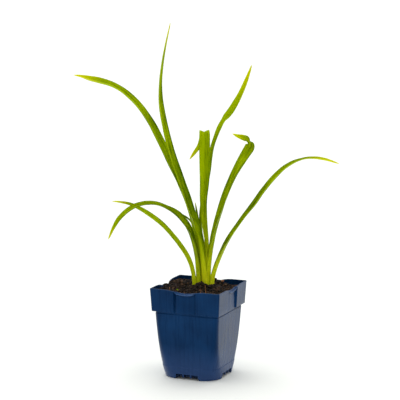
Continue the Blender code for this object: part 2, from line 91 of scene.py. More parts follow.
def eased(share: float) -> float:
    """Keeps a share between 0 and 1, and lets it start and end softly."""
    share = clamped(share)
    return share * share * (3 - 2 * share)


def connect(node: bpy.types.Node, inputs: dict) -> None:
    """Sets or feeds inputs of a node.

    Args:
        node: The node.
        inputs: For an input's name or number, its value or the output that feeds it.
    """
    for name, value in inputs.items():
        if isinstance(value, bpy.types.NodeSocket):
            node.id_data.links.new(value, node.inputs[name])
        else:
            node.inputs[name].default_value = value


def add_node(tree: bpy.types.NodeTree, kind: str, inputs: dict | None = None,
             **settings: str | bool) -> bpy.types.Node:
    """Adds a node to a tree.

    Args:
        tree: The node tree.
        kind: The node's type after "ShaderNode".
        inputs: For an input's name or number, its value or the output that feeds it.
        settings: The node's own properties.

    Returns:
        The node.
    """
    node = tree.nodes.new("ShaderNode" + kind)
    for name, value in settings.items():
        setattr(node, name, value)
    connect(node, inputs or {})
    return node


def new_finish(name: str, sockets: dict) -> tuple[bpy.types.Material, bpy.types.Node]:
    """Starts a material.

    Args:
        name: The material's name.
        sockets: Values for the shader's own sockets.

    Returns:
        The material and its Principled shader.
    """
    material = bpy.data.materials.new(name)
    material.use_nodes = True
    shader = material.node_tree.nodes["Principled BSDF"]
    connect(shader, sockets)
    return material, shader


def scale_of(size: float) -> float:
    """The scale of a pattern, from its real size in millimetres."""
    return 1 / (size * MM)


def select_only(piece: bpy.types.Object) -> None:
    """Makes a piece the one that operators act on.

    Args:
        piece: The piece.
    """
    bpy.ops.object.select_all(action="DESELECT")
    piece.select_set(True)
    bpy.context.view_layer.objects.active = piece


@contextmanager
def editing(piece: bpy.types.Object) -> Iterator[bmesh.types.BMesh]:
    """Puts a piece in edit mode for a while.

    Args:
        piece: A mesh object.

    Yields:
        Its mesh as it is edited.
    """
    select_only(piece)
    bpy.ops.object.mode_set(mode="EDIT")
    try:
        yield bmesh.from_edit_mesh(piece.data)
    finally:
        bmesh.update_edit_mesh(piece.data)
        bpy.ops.object.mode_set(mode="OBJECT")


def apply_modifiers(piece: bpy.types.Object) -> None:
    """Applies a piece's modifiers in their order.

    Args:
        piece: The piece.
    """
    select_only(piece)
    for name in [m.name for m in piece.modifiers]:
        bpy.ops.object.modifier_apply(modifier=name)


def settle(piece: bpy.types.Object, slot: Slot, finish: bpy.types.Material,
           *nodes: str) -> bpy.types.Object:
    """Finishes a piece: its place goes into its mesh, and it gets its finish and body.

    Args:
        piece: The piece.
        slot: Its material slot; not used.
        finish: Its material.
        nodes: The solids that it stands for.

    Returns:
        The piece.
    """
    select_only(piece)
    bpy.ops.object.transform_apply(location=True, rotation=True, scale=True)
    piece.data.materials.clear()
    piece.data.materials.append(finish)
    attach(piece, "root")
    if nodes:
        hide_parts(*nodes)
    log.info("%s: %d faces", piece.name, len(piece.data.polygons))
    return piece


def stack_rows(name: str, rows: list[list[Vector]]) -> bpy.types.Object:
    """A closed skin: a disc is laid on the first row of points, then extruded from row to row.

    Args:
        name: The piece's name.
        rows: Rows of equal point counts, in millimetres, anticlockwise from above.

    Returns:
        The piece.
    """
    bpy.ops.object.select_all(action="DESELECT")
    bpy.ops.mesh.primitive_circle_add(vertices=len(rows[0]), fill_type="NGON")
    piece = bpy.context.object
    piece.name = piece.data.name = name
    with editing(piece) as shape:
        place = shape.verts.layers.int.new("place")
        for number, loop in enumerate(shape.faces[:][0].loops):
            loop.vert[place] = number
        for level, row in enumerate(rows):
            if level:
                bpy.ops.mesh.extrude_region_move()
                shape = bmesh.from_edit_mesh(piece.data)
                place = shape.verts.layers.int["place"]
            for vert in shape.verts:
                if vert.select:
                    vert.co = row[vert[place]] * MM
        shape.verts.layers.int.remove(place)
        bpy.ops.mesh.select_all(action="SELECT")
        bpy.ops.mesh.normals_make_consistent(inside=False)
    return piece


def fan_point(up: float, across: float, back: float) -> Vector:
    """A point given in the fan's directions, in the pot's directions."""
    return Vector((across * math.cos(FAN_TURN) - back * math.sin(FAN_TURN),
                   across * math.sin(FAN_TURN) + back * math.cos(FAN_TURN), up))


def fan_frame() -> Matrix:
    """Stands a piece modelled lying along X upright in the fan."""
    axes = (Vector((0, 0, 1)), fan_point(0, 1, 0), fan_point(0, 0, 1))
    return Matrix(axes).transposed().to_4x4()


# Finishes


@dataclass(frozen=True)
class MouldedPolypropylene:
    """Injection-moulded polypropylene: dense colour, a satin skin and faint flow streaks.

    The attribute "burnished" marks the rim's outer edge and its ledges, where a paler blue is
    painted as a highlight.
    """

    deep: str = "021F42"
    light: str = "0D345F"
    # paler blue painted on the lip's edge and ledges as a highlight
    painted_lip_highlight: str = "45608A"
    # paler blue painted on the lower walls as a reflection of the floor
    painted_floor_reflection: str = "314874"
    floor_reflection_height: float = 42.0    # the painted reflection of the floor starts here and is palest at the foot
    streak_mm: float = 3.2         # real flow streaks are under 1 mm wide; coarser here, to show
    streak_draw: float = 22.0      # a streak's length over its width
    cloud_mm: float = 35.7         # cloudy flow marks
    peel_mm: float = 1.6           # real orange peel is about 0.5 mm; coarser here, to show

    def make(self) -> bpy.types.Material:
        """Makes the material.

        Returns:
            The material.
        """
        # To the eye: one dense navy, with the broad soft highlights of a satin mould, long faint
        # streaks down the walls where the melt flowed, a foot painted paler as a reflection of the
        # floor, and a painted highlight along the lip's edge.
        material, shader = new_finish("moulded_polypropylene", {
            "IOR": 1.49, "Specular IOR Level": 0.52, "Specular Tint": linear("4F78B0"),
            "Sheen Weight": 0.09, "Sheen Roughness": 0.35, "Sheen Tint": linear("5A7AD8")})
        node = partial(add_node, material.node_tree)
        place = node("TexCoord").outputs["Object"]
        across = scale_of(self.streak_mm)
        drawn = node("Mapping", {"Vector": place,
                                 "Scale": (across, across, across / self.streak_draw)})
        streaks = node("TexNoise", {"Vector": drawn.outputs[0], "Scale": 1.0, "Detail": 3.0})
        clouds = node("TexNoise", {"Vector": place, "Scale": scale_of(self.cloud_mm),
                                   "Detail": 4.0})
        both = node("Mix", {0: 0.65, 2: streaks.outputs[0], 3: clouds.outputs[0]},
                    data_type="FLOAT")
        share = node("MapRange", {"Value": both.outputs[0], "From Min": 0.32, "From Max": 0.68})
        colour = node("Mix", {0: share.outputs[0], 6: linear(self.deep), 7: linear(self.light)},
                      data_type="RGBA")
        # The walls are painted paler towards the foot, as a reflection of the floor
        height = node("SeparateXYZ", {0: place}).outputs["Z"]
        floor_reflection_share = node("MapRange", {"Value": height, "From Min": self.floor_reflection_height * MM,
                                 "From Max": 0.0})
        # The lip's edge is painted paler as a highlight
        rim = node("Attribute", attribute_name="painted_lip_highlight").outputs["Fac"]
        for amount, shade in ((floor_reflection_share.outputs[0], self.painted_floor_reflection), (rim, self.painted_lip_highlight)):
            colour = node("Mix", {0: amount, 6: colour.outputs[2], 7: linear(shade)},
                          data_type="RGBA")
        gloss = node("MapRange", {"Value": streaks.outputs[0], "From Min": 0.3, "From Max": 0.7,
                                  "To Min": 0.23, "To Max": 0.37})
        peel = node("TexNoise", {"Vector": place, "Scale": scale_of(self.peel_mm), "Detail": 2.0})
        relief = node("Bump", {"Height": peel.outputs[0], "Strength": 0.12, "Distance": 0.1 * MM})
        connect(shader, {"Base Color": colour.outputs[2], "Roughness": gloss.outputs[0],
                         "Normal": relief.outputs[0]})
        return material


@dataclass(frozen=True)
class PeatCompost:
    """Milled peat and composted bark, kept moist: near black with brown fibres, without gloss."""

    dark: str = "060403"
    mid: str = "2C1D13"
    fibre: str = "74492A"
    grain_mm: float = 1.43
    clod_mm: float = 6.25
    fibre_mm: float = 2.38         # real fibres are about 0.3 mm thick; coarser here, to show

    def make(self) -> bpy.types.Material:
        """Makes the material.

        Returns:
            The material.
        """
        # To the eye: damp and almost black, broken by dull brown clods and a few paler threads.
        material, shader = new_finish("moist_peat_compost",
                                      {"Roughness": 0.92, "Specular IOR Level": 0.25})
        node = partial(add_node, material.node_tree)
        place = node("TexCoord").outputs["Object"]
        grains = node("TexVoronoi", {"Vector": place, "Scale": scale_of(self.grain_mm)})
        clods = node("TexNoise", {"Vector": place, "Scale": scale_of(self.clod_mm),
                                  "Detail": 5.0, "Roughness": 0.7})
        spread = node("MapRange", {"Value": clods.outputs[0], "From Min": 0.42, "From Max": 0.68})
        ground = node("Mix", {0: spread.outputs[0], 6: linear(self.dark), 7: linear(self.mid)},
                      data_type="RGBA")
        threads = node("TexNoise", {"Vector": place, "Scale": scale_of(self.fibre_mm),
                                    "Detail": 3.0, "Distortion": 1.5})
        few = node("MapRange", {"Value": threads.outputs[0], "From Min": 0.6, "From Max": 0.7})
        colour = node("Mix", {0: few.outputs[0], 6: ground.outputs[2], 7: linear(self.fibre)},
                      data_type="RGBA")
        relief = node("Bump", {"Height": grains.outputs[0], "Strength": 0.6,
                               "Distance": 0.4 * MM})
        connect(shader, {"Base Color": colour.outputs[2], "Normal": relief.outputs[0]})
        return material


@dataclass(frozen=True)
class LooseBits:
    """Milled, shredded or dried plant stuff, such as crumbs of peat and chips of bark.

    Each bit has its own shade, kept in the attribute "shade".
    """

    name: str
    dark: str
    pale: str
    grain_mm: float                # size of the flecks; real ones are finer, coarser here, to show
    roughness: float = 0.9

    def make(self) -> bpy.types.Material:
        """Makes the material.

        Returns:
            The material.
        """
        # To the eye: torn and dull, each bit in its own brown with lighter and darker flecks.
        material, shader = new_finish(self.name, {"Roughness": self.roughness,
                                                  "Specular IOR Level": 0.25})
        node = partial(add_node, material.node_tree)
        place = node("TexCoord").outputs["Object"]
        shade = node("Attribute", attribute_name="shade").outputs["Fac"]
        grain = node("TexNoise", {"Vector": place, "Scale": scale_of(self.grain_mm),
                                  "Detail": 4.0})
        uneven = node("MapRange", {"Value": grain.outputs[0], "From Min": 0.3, "From Max": 0.7,
                                   "To Min": -0.2, "To Max": 0.2})
        share = node("Math", {0: shade, 1: uneven.outputs[0]}, operation="ADD", use_clamp=True)
        colour = node("Mix", {0: share.outputs[0], 6: linear(self.dark), 7: linear(self.pale)},
                      data_type="RGBA")
        relief = node("Bump", {"Height": grain.outputs[0], "Strength": 0.5, "Distance": 0.3 * MM})
        connect(shader, {"Base Color": colour.outputs[2], "Normal": relief.outputs[0]})
        return material


@dataclass(frozen=True)
class LeafTissue:
    """Living strap leaf: a smooth skin over green tissue with parallel veins.

    The blade's map runs along the leaf in U and across it in V, so that the veins follow it. Its
    attributes say where it is deep green, pale, ripe yellow or dry, and carry painted shade on the
    halves of each fold and painted light on the pale foot.
    """

    bright: str = "A3B901"
    deep: str = "426200"
    # the pale foot, made brighter than the real foot as painted light
    pale: str = "F0F420"
    ripe: str = "DEDC00"
    dry: str = "C88A1C"
    # Real veins are about 0.5 mm apart, too fine to show, so the stripes are drawn coarser.
    veins: float = 6.0             # stripes across the blade
    vein_mm: float = 24.0          # length of a stripe
    sway_mm: float = 111.0         # the stripes drift a little over this length
    cloud_mm: float = 41.7         # uneven green along the blade

    def make(self) -> bpy.types.Material:
        """Makes the material.

        Returns:
            The material.
        """
        # To the eye: fresh yellow-green with fine stripes along the blade, a soft sheen, and some
        # light that glows through the thin margins. The halves of each fold carry painted shade and
        # painted light, and the pale foot is partly painted light.
        material, shader = new_finish("living_leaf_tissue", {
            "IOR": 1.42, "Specular IOR Level": 0.07, "Specular Tint": linear("B4C81E"),
            "Subsurface Weight": 0.3, "Subsurface Radius": (0.7, 1.0, 0.05),
            "Subsurface Scale": 0.7 * MM})
        node = partial(add_node, material.node_tree)
        chart = node("UVMap", uv_map="blade").outputs[0]
        place = node("TexCoord").outputs["Object"]
        drawn = node("Mapping", {"Vector": chart,
                                 "Scale": (CHART_MM / self.vein_mm, self.veins, 1.0)})
        shift = node("TexNoise", {"Vector": place, "Scale": scale_of(self.sway_mm), "Detail": 1.0})
        moved = node("VectorMath", {0: drawn.outputs[0], 1: shift.outputs[1]}, operation="ADD")
        streaks = node("TexNoise", {"Vector": moved.outputs[0], "Scale": 1.0, "Detail": 4.0,
                                    "Roughness": 0.6})
        clouds = node("TexNoise", {"Vector": place, "Scale": scale_of(self.cloud_mm),
                                   "Detail": 3.0})
        both = node("Mix", {0: 0.3, 2: streaks.outputs[0], 3: clouds.outputs[0]},
                    data_type="FLOAT")
        uneven = node("MapRange", {"Value": both.outputs[0], "From Min": 0.34, "From Max": 0.66,
                                   "To Min": -0.55, "To Max": 0.55})
        # Own green and painted shade: one half of each fold is painted darker where it lies in
        # shade
        green_and_shade = node("Attribute", attribute_name="green_and_shade").outputs["Fac"]
        share = node("Math", {0: green_and_shade, 1: uneven.outputs[0]}, operation="ADD", use_clamp=True)
        colour = node("Mix", {0: share.outputs[0], 6: linear(self.bright), 7: linear(self.deep)},
                      data_type="RGBA")
        tints = (("paleness_and_light", self.pale), ("ripeness", self.ripe), ("scorch", self.dry))
        for attribute, tint in tints:
            amount = node("Attribute", attribute_name=attribute).outputs["Fac"]
            colour = node("Mix", {0: amount, 6: colour.outputs[2], 7: linear(tint)},
                          data_type="RGBA")
        gloss = node("MapRange", {"Value": clouds.outputs[0], "From Min": 0.3, "From Max": 0.7,
                                  "To Min": 0.38, "To Max": 0.52})
        relief = node("Bump", {"Height": streaks.outputs[0], "Strength": 0.5,
                               "Distance": 0.3 * MM})
        connect(shader, {"Base Color": colour.outputs[2], "Roughness": gloss.outputs[0],
                         "Normal": relief.outputs[0]})
        return material


@dataclass(frozen=True)
class StudioBoard:
    """Matt painted board: white, without gloss or pattern."""

    colour: str = "EDEFEB"

    def make(self) -> bpy.types.Material:
        """Makes the material.

        Returns:
            The material.
        """
        # To the eye: plain white that takes soft shadows.
        material, _ = new_finish("matt_white_board", {
            "Base Color": linear(self.colour), "Roughness": 0.9, "Specular IOR Level": 0.1})
        return material


# The pot


@dataclass(frozen=True)
class NurseryPot:
    """A thin moulded pot: a nearly round foot grows to a square body under a wider band."""

    height: float = 110.0
    rim_half: float = 45.0
    band_height: float = 28.0
    band_foot_half: float = 43.4
    band_corner: float = 1.5
    body_top_half: float = 41.3
    body_foot_half: float = 36.3
    body_top_corner: float = 6.0
    body_foot_corner: float = 25.0
    rounding: int = 3              # how late the corners grow round on the way down
    wall: float = 1.2
    underside: float = 2.5
    panel_half: float = 14.0
    panel_step: float = 0.5
    groove: float = 0.6            # the panels' side edges and the body under the band are set back
    panel_top_half: float = 42.0
    panel_foot_half: float = 41.9
    lip_half: float = 25.0
    rim_dip: float = 3.3
    ledge: float = 1.7             # the lip's outer edge lies lower than the rim behind it
    ledge_end: float = 4.0
    lip_set_in: float = 2.4
    seam_height: float = 14.6      # a faint step runs round the foot
    seam_depth: float = 0.4
    channel_width: float = 31.0
    slot_width: float = 8.6
    slot_pitch: float = 10.0
    slot_foot: float = 2.0
    slot_top: float = 6.3
    foot_levels: tuple[float, ...] = (3.0, 6.0, 9.0, 12.0)
    body_levels: tuple[float, ...] = (21.0, 27.0, 34.0, 43.0, 52.0, 62.0, 72.0)
    inner_levels: tuple[float, ...] = (15.0, 9.0, 6.0)
    inner_step: float = 1.2        # height of the slope inside, from the body out to the band
    panel_places: tuple[float, ...] = (0.0, 2.0, 4.0, 6.0, 8.0, 10.0, 12.0)
    side_places: tuple[float, ...] = (16.5, 18.5, 21.5)
    brace_share: float = 0.94      # a last place near each corner keeps the sides flat
    brace_min: float = 0.35
    corner_points: int = 17

    @property
    def band_foot(self) -> float:
        """Height of the band's underside."""
        return self.height - self.band_height

    def lip_share(self, along: float) -> float:
        """How far the lip reaches at a place along a side.

        Args:
            along: Distance of the place from the side's middle.

        Returns:
            A share, 1 in the middle and 0 at the lip's ends.
        """
        if abs(along) >= self.lip_half:
            return 0.0
        return math.cos(math.pi * along / (2 * self.lip_half)) ** 2

    def ledge_share(self, along: float) -> float:
        """How far the ledge reaches at a place along a side: 1 over the panel, 0 beside it."""
        return eased((self.panel_half - abs(along)) / self.ledge_end)

    def panel_growth(self, inwards: float) -> float:
        """How far a panel grows to each side, at a distance in from the outside."""
        return 0.9 * max(inwards, 0.0) ** 2

    def outline(self, half: float, corner: float, height: float, panel: float | None = None,
                wider: float = 0.0, set_in: float = 0.0, fall: float = 0.0,
                ledge: float = 0.0) -> list[Vector]:
        """A row of points round the pot, anticlockwise from above.

        Args:
            half: Distance of the sides from the middle.
            corner: Radius of the corners.
            height: Height of the row.
            panel: Distance of the sunk panels, where the row crosses them.
            wider: Growth of the panels to each side.
            set_in: How far the lip is set back.
            fall: How far the row dips in the middle of each side.
            ledge: How much further it dips over the panel.

        Returns:
            The points, in millimetres.
        """
        step = self.panel_half + wider
        flat = half - corner
        brace = self.lip_half + max(self.brace_min, self.brace_share * (flat - self.lip_half))
        edge = (step - self.panel_step, step, step + self.panel_step)
        right = [*self.panel_places, *edge, *self.side_places, self.lip_half, brace]
        stations = [-s for s in reversed(right[1:])] + right
        start = math.asin(max(0.0, brace - flat) / corner)
        row = []
        for quarter in range(4):
            turn = Matrix.Rotation(quarter * math.pi / 2, 3, "Z")
            for along in stations:
                beyond = max(0.0, abs(along) - flat)
                out = flat + math.sqrt(corner**2 - beyond**2)
                if panel is not None and abs(along) < step - self.panel_step / 2:
                    out = panel - (self.groove if abs(along) > step - 1.0 else 0.0)
                elif panel is not None and abs(along) < step + self.panel_step / 2:
                    out = (out + panel) / 2
                over = self.ledge_share(along)
                drop = fall * self.lip_share(along) + ledge * over
                row.append(turn @ Vector((out - set_in * over, along, height - drop)))
            for k in range(self.corner_points):
                angle = start + (math.pi / 2 - 2 * start) * (k + 0.5) / self.corner_points
                x, y = flat + corner * math.cos(angle), flat + corner * math.sin(angle)
                row.append(turn @ Vector((x, y, height)))
        return row

    def body_at(self, level: float) -> tuple[float, float]:
        """The body's size at a level.

        Args:
            level: Height over the surface that the pot stands on.

        Returns:
            Distance of the sides from the middle, and radius of the corners.
        """
        fall = max(0.0, 1 - level / self.band_foot)
        half = self.body_top_half + (self.body_foot_half - self.body_top_half) * fall
        growth = self.body_foot_corner - self.body_top_corner
        return half, self.body_top_corner + growth * fall**self.rounding

    def body_row(self, height: float, offset: float = 0.0) -> list[Vector]:
        """A row of the body.

        Args:
            height: Height of the row.
            offset: How far it is moved inwards.

        Returns:
            The points.
        """
        half, corner = self.body_at(height)
        return self.outline(half - offset, corner - offset, height)

    def band_row(self, height: float, offset: float, fall: float = 0.0,
                 ledge: float = 0.0) -> list[Vector]:
        """A row of the band, which the panels cross.

        Args:
            height: Height of the row.
            offset: How far it is moved inwards.
            fall: How far it dips in the middle of each side.
            ledge: How much further it dips over the panel.

        Returns:
            The points.
        """
        share = (height - self.band_foot) / self.band_height
        half = self.band_foot_half + (self.rim_half - self.band_foot_half) * share
        panel = self.panel_foot_half + (self.panel_top_half - self.panel_foot_half) * share
        return self.outline(half - offset, max(self.band_corner - offset, 0.4), height,
                            panel=panel - offset, wider=self.panel_growth(offset), fall=fall,
                            ledge=ledge)

    def rows(self) -> list[list[Vector]]:
        """The rows of the shell: up the outside, over the rim and down the inside.

        Returns:
            The rows of points, in millimetres.
        """
        foot, top, rim, wall = self.band_foot, self.height, self.rim_half, self.wall
        corner, dip = self.band_corner, self.rim_dip
        proud = -self.seam_depth
        # The foot stands proud of the body, up to its faint step.
        rows = [self.body_row(0.0, 0.5), self.body_row(0.15, 0.1), self.body_row(0.5, proud)]
        rows += [self.body_row(z, proud) for z in (*self.foot_levels, self.seam_height)]
        rows.append(self.body_row(self.seam_height + 0.2, proud / 2))
        rows.append(self.body_row(self.seam_height + 0.4))
        rows += [self.body_row(z) for z in (*self.body_levels, foot - 2.8)]
        rows += [self.body_row(z, self.groove) for z in (foot - 1.9, foot - 0.1)]
        # The band's lower edge is rounded.
        for inwards, sunk, up in ((0.5, 0.1, 0.0), (0.12, 0.03, 0.15), (0.0, 0.0, 0.5)):
            rows.append(self.outline(self.band_foot_half - inwards, corner, foot + up,
                                     panel=self.panel_foot_half - sunk))
        rows += [self.band_row(z, 0.0) for z in (foot + 6, foot + 12, foot + 18)]
        # A hollow runs under the lip, and the ledge and the rim are rounded over it.
        hollow = self.panel_top_half - 0.5
        for inwards, down, panel in ((0.1, 2.3, self.panel_top_half), (0.05, 1.9, hollow),
                                     (0.0, 1.0, hollow)):
            rows.append(self.outline(rim - inwards, corner, top - down, panel=panel, fall=dip,
                                     ledge=self.ledge))
        for inwards, down, set_in, share in ((0.0, 0.9, 0.3, 1.0), (0.0, 0.55, 0.35, 0.9),
                                             (0.08, 0.2, 1.0, 0.6),
                                             (0.35, 0.0, self.lip_set_in, 0.0)):
            rows.append(self.outline(rim - inwards, corner, top - down, set_in=set_in, fall=dip,
                                     ledge=self.ledge * share))
        wide = self.panel_growth(wall)
        for out, inner_corner, down in ((0.3, 1.0, 0.0), (0.0, 0.8, 0.3)):
            rows.append(self.outline(rim - wall + out, inner_corner, top - down, wider=wide,
                                     set_in=self.lip_set_in, fall=dip))
        # The inside follows the outside at the wall's thickness, down to the floor.
        rows.append(self.band_row(top - 1.6, wall, fall=dip, ledge=self.ledge))
        rows += [self.band_row(z, wall) for z in (foot + 18, foot + 10, foot + 1.5)]
        rows.append(self.band_row(foot + self.inner_step, wall + 0.2))
        inner = (foot, *reversed(self.body_levels), *self.inner_levels)
        rows += [self.body_row(z, wall) for z in inner]
        floor = self.underside + wall
        rows += [self.body_row(floor + 1.0, wall), self.body_row(floor + 0.3, wall + 0.3),
                 self.body_row(floor, wall + 1.0)]
        return rows

    def cut(self, piece: bpy.types.Object) -> None:
        """Cuts the channels between the feet, and the drain slots.

        Args:
            piece: The pot.
        """
        below, reach, length = 1.5, 2 * self.rim_half, 12.0
        middle = Vector((0, 0, (self.underside - below) / 2))
        tall = self.underside + below
        boxes = [(middle, (reach, self.channel_width, tall)),
                 (middle, (self.channel_width, reach, tall))]
        tall = self.slot_top - self.slot_foot
        for quarter in range(4):
            turn = Matrix.Rotation(quarter * math.pi / 2, 3, "Z")
            wide = (length, self.slot_width) if quarter % 2 == 0 else (self.slot_width, length)
            for place in (-1, 0, 1):
                middle = Vector((self.body_foot_half, place * self.slot_pitch,
                                 (self.slot_top + self.slot_foot) / 2))
                boxes.append((turn @ middle, (*wide, tall)))
        cutters = []
        for middle, size in boxes:
            bpy.ops.mesh.primitive_cube_add(size=MM, location=middle * MM)
            cutters.append(bpy.context.object)
            bpy.ops.transform.resize(value=size)
        for cutter in cutters:
            cut = piece.modifiers.new("cut", "BOOLEAN")
            cut.operation = "DIFFERENCE"
            cut.object = cutter
        apply_modifiers(piece)
        for cutter in cutters:
            bpy.data.objects.remove(cutter)

    def build(self, finish: bpy.types.Material) -> bpy.types.Object:
        """Builds and dresses the pot.

        Args:
            finish: The plastic.

        Returns:
            The pot.
        """
        piece = stack_rows("nursery_pot", self.rows())
        self.cut(piece)
        # A highlight is painted on the rim's outer edge, brightest on the ledges.
        painted_lip_highlight = piece.data.attributes.new("painted_lip_highlight", "FLOAT", "POINT").data
        for vert, mark in zip(piece.data.vertices, painted_lip_highlight):
            x, y, z = vert.co / MM
            along = y if abs(x) > abs(y) else x
            over = self.ledge_share(along)
            edge = self.height - 0.95 - self.rim_dip * self.lip_share(along) - self.ledge * over
            if max(abs(x), abs(y)) > self.rim_half - 0.5 and z > edge:
                mark.value = 0.12 + 0.6 * over
        select_only(piece)
        bpy.ops.object.shade_smooth_by_angle(angle=math.radians(28))
        return settle(piece, Slot.POT, finish, "pot")


# The compost


@dataclass(frozen=True)
class Compost:
    """The fill: heaped round the plant and mounded at the back left, with loose bits on top."""

    fill: float = 105.4            # height of the surface in the middle, without its mounds
    fall: float = 2.2              # how much lower it lies at the right, over fall_run
    fall_run: float = 45.0
    edge_level: float = 103.2
    edge_half: float = 43.0        # from here the mounds ease in, over edge_ease
    edge_ease: float = 7.0
    edge_share: float = 0.25       # share of their height that the mounds keep at the edge
    floor: float = 4.0
    gap: float = 0.3
    band_lean: float = 0.4         # the band is this much narrower at the surface than at its rim
    cells: int = 168
    lump: float = 1.5
    lump_size: float = 7.0
    clod: float = 1.3
    clod_size: float = 4.6
    crumb: float = 2.0
    crumb_size: float = 3.3
    grain: float = 0.7
    grain_size: float = 1.5
    # Each mound's height, place across and back in the fan, and spread
    mounds: tuple = ((6.6, 6.2, -6.0, 12.5), (5.6, -25.5, 8.0, 12.5), (5.5, 21.0, 24.0, 9.0),
                     (4.2, -1.5, -9.5, 4.2))
    slot_inset: float = 9.0        # the fill stands back behind the drain slots
    slot_level: float = 12.0       # up to here
    side_levels: tuple[float, ...] = (62.0, 43.0, 27.0, 14.0, 10.0)

    def half_at(self, pot: NurseryPot, along: float) -> float:
        """Distance of the surface's edge from the middle, at a place along a side.

        Args:
            pot: The pot.
            along: Distance of the place from the side's middle.

        Returns:
            The distance.
        """
        inset = pot.wall + self.gap
        step = pot.panel_half + pot.panel_growth(inset)
        return (pot.panel_top_half if abs(along) < step else pot.rim_half - self.band_lean) - inset

    def height(self, x: float, y: float) -> float:
        """Height of the surface without its crumbs.

        Args:
            x: Place along X.
            y: Place along Y.

        Returns:
            The height.
        """
        across = x * math.cos(FAN_TURN) + y * math.sin(FAN_TURN)
        back = y * math.cos(FAN_TURN) - x * math.sin(FAN_TURN)
        height = self.fill - self.fall * across / self.fall_run
        height += self.lump * noise.noise(Vector((across, back, 0)) / self.lump_size)
        for rise, mound_across, mound_back, spread in self.mounds:
            away = (across - mound_across) ** 2 + (back - mound_back) ** 2
            height += rise * math.exp(-away / spread**2)
        ease = clamped((self.edge_half - max(abs(x), abs(y))) / self.edge_ease)
        kept = self.edge_share + (1 - self.edge_share) * ease
        return self.edge_level + (height - self.edge_level) * kept

    def crumbled(self, x: float, y: float) -> float:
        """Height of the surface with its crumbs.

        Args:
            x: Place along X.
            y: Place along Y.

        Returns:
            The height.
        """
        # Each pattern is centred on about 0, so that it goes up as much as down.
        place = Vector((x, y, 0))
        clods = self.clod * noise.noise(place / self.clod_size + Vector((7, 3, 1)))
        crumbs = 0.45 - noise.voronoi(place / self.crumb_size)[0][0]
        grains = 0.4 - noise.voronoi(place / self.grain_size + Vector((3, 5, 2)))[0][0]
        return self.height(x, y) + clods + self.crumb * crumbs + self.grain * grains

    def build(self, pot: NurseryPot, finish: bpy.types.Material) -> bpy.types.Object:
        """Builds the fill: a fine grid on top, and sides that follow the pot's inside.

        Args:
            pot: The pot.
            finish: The compost's material.

        Returns:
            The fill.
        """
        bpy.ops.object.select_all(action="DESELECT")
        bpy.ops.mesh.primitive_grid_add(x_subdivisions=self.cells, y_subdivisions=self.cells,
                                        size=2)
        piece = bpy.context.object
        piece.name = piece.data.name = "compost"
        levels = (pot.band_foot + pot.inner_step + self.gap, pot.band_foot + self.gap,
                  *self.side_levels, self.floor)
        with editing(piece) as shape:
            for vert in shape.verts:
                u, v = vert.co.x, vert.co.y
                x = u * self.half_at(pot, v * self.edge_half)
                y = v * self.half_at(pot, u * self.edge_half)
                vert.co = Vector((x, y, self.crumbled(x, y))) * MM
            bpy.ops.mesh.select_all(action="SELECT")
            bpy.ops.mesh.region_to_loop()
            for level in levels:
                bpy.ops.mesh.extrude_edges_move()
                shape = bmesh.from_edit_mesh(piece.data)
                for vert in shape.verts:
                    if vert.select:
                        vert.co = self.on_wall(pot, vert.co / MM, level) * MM
            bpy.ops.mesh.edge_face_add()
            bpy.ops.mesh.select_all(action="SELECT")
            bpy.ops.mesh.normals_make_consistent(inside=False)
        select_only(piece)
        bpy.ops.object.shade_smooth()
        return settle(piece, Slot.COMPOST, finish, "potting_soil")

    def on_wall(self, pot: NurseryPot, place: Vector, level: float) -> Vector:
        """The point at a level where the fill meets the pot, in the direction of a place.

        Args:
            pot: The pot.
            place: A point in the wanted direction, in millimetres.
            level: Height of the wanted point.

        Returns:
            The point, a gap away from the pot's inside.
        """
        inset = pot.wall + self.gap + (self.slot_inset if level < self.slot_level else 0.0)
        half, corner = (size - inset for size in pot.body_at(level))
        if level > pot.band_foot + 0.5:
            half, corner = pot.panel_foot_half - inset, 1.0
        flat = half - corner
        scale = half / max(abs(place.x), abs(place.y))
        x, y = place.x * scale, place.y * scale
        if abs(x) > flat and abs(y) > flat:
            away = Vector((abs(x) - flat, abs(y) - flat)).normalized() * corner
            x = math.copysign(flat + away.x, x)
            y = math.copysign(flat + away.y, y)
        return Vector((x, y, level))


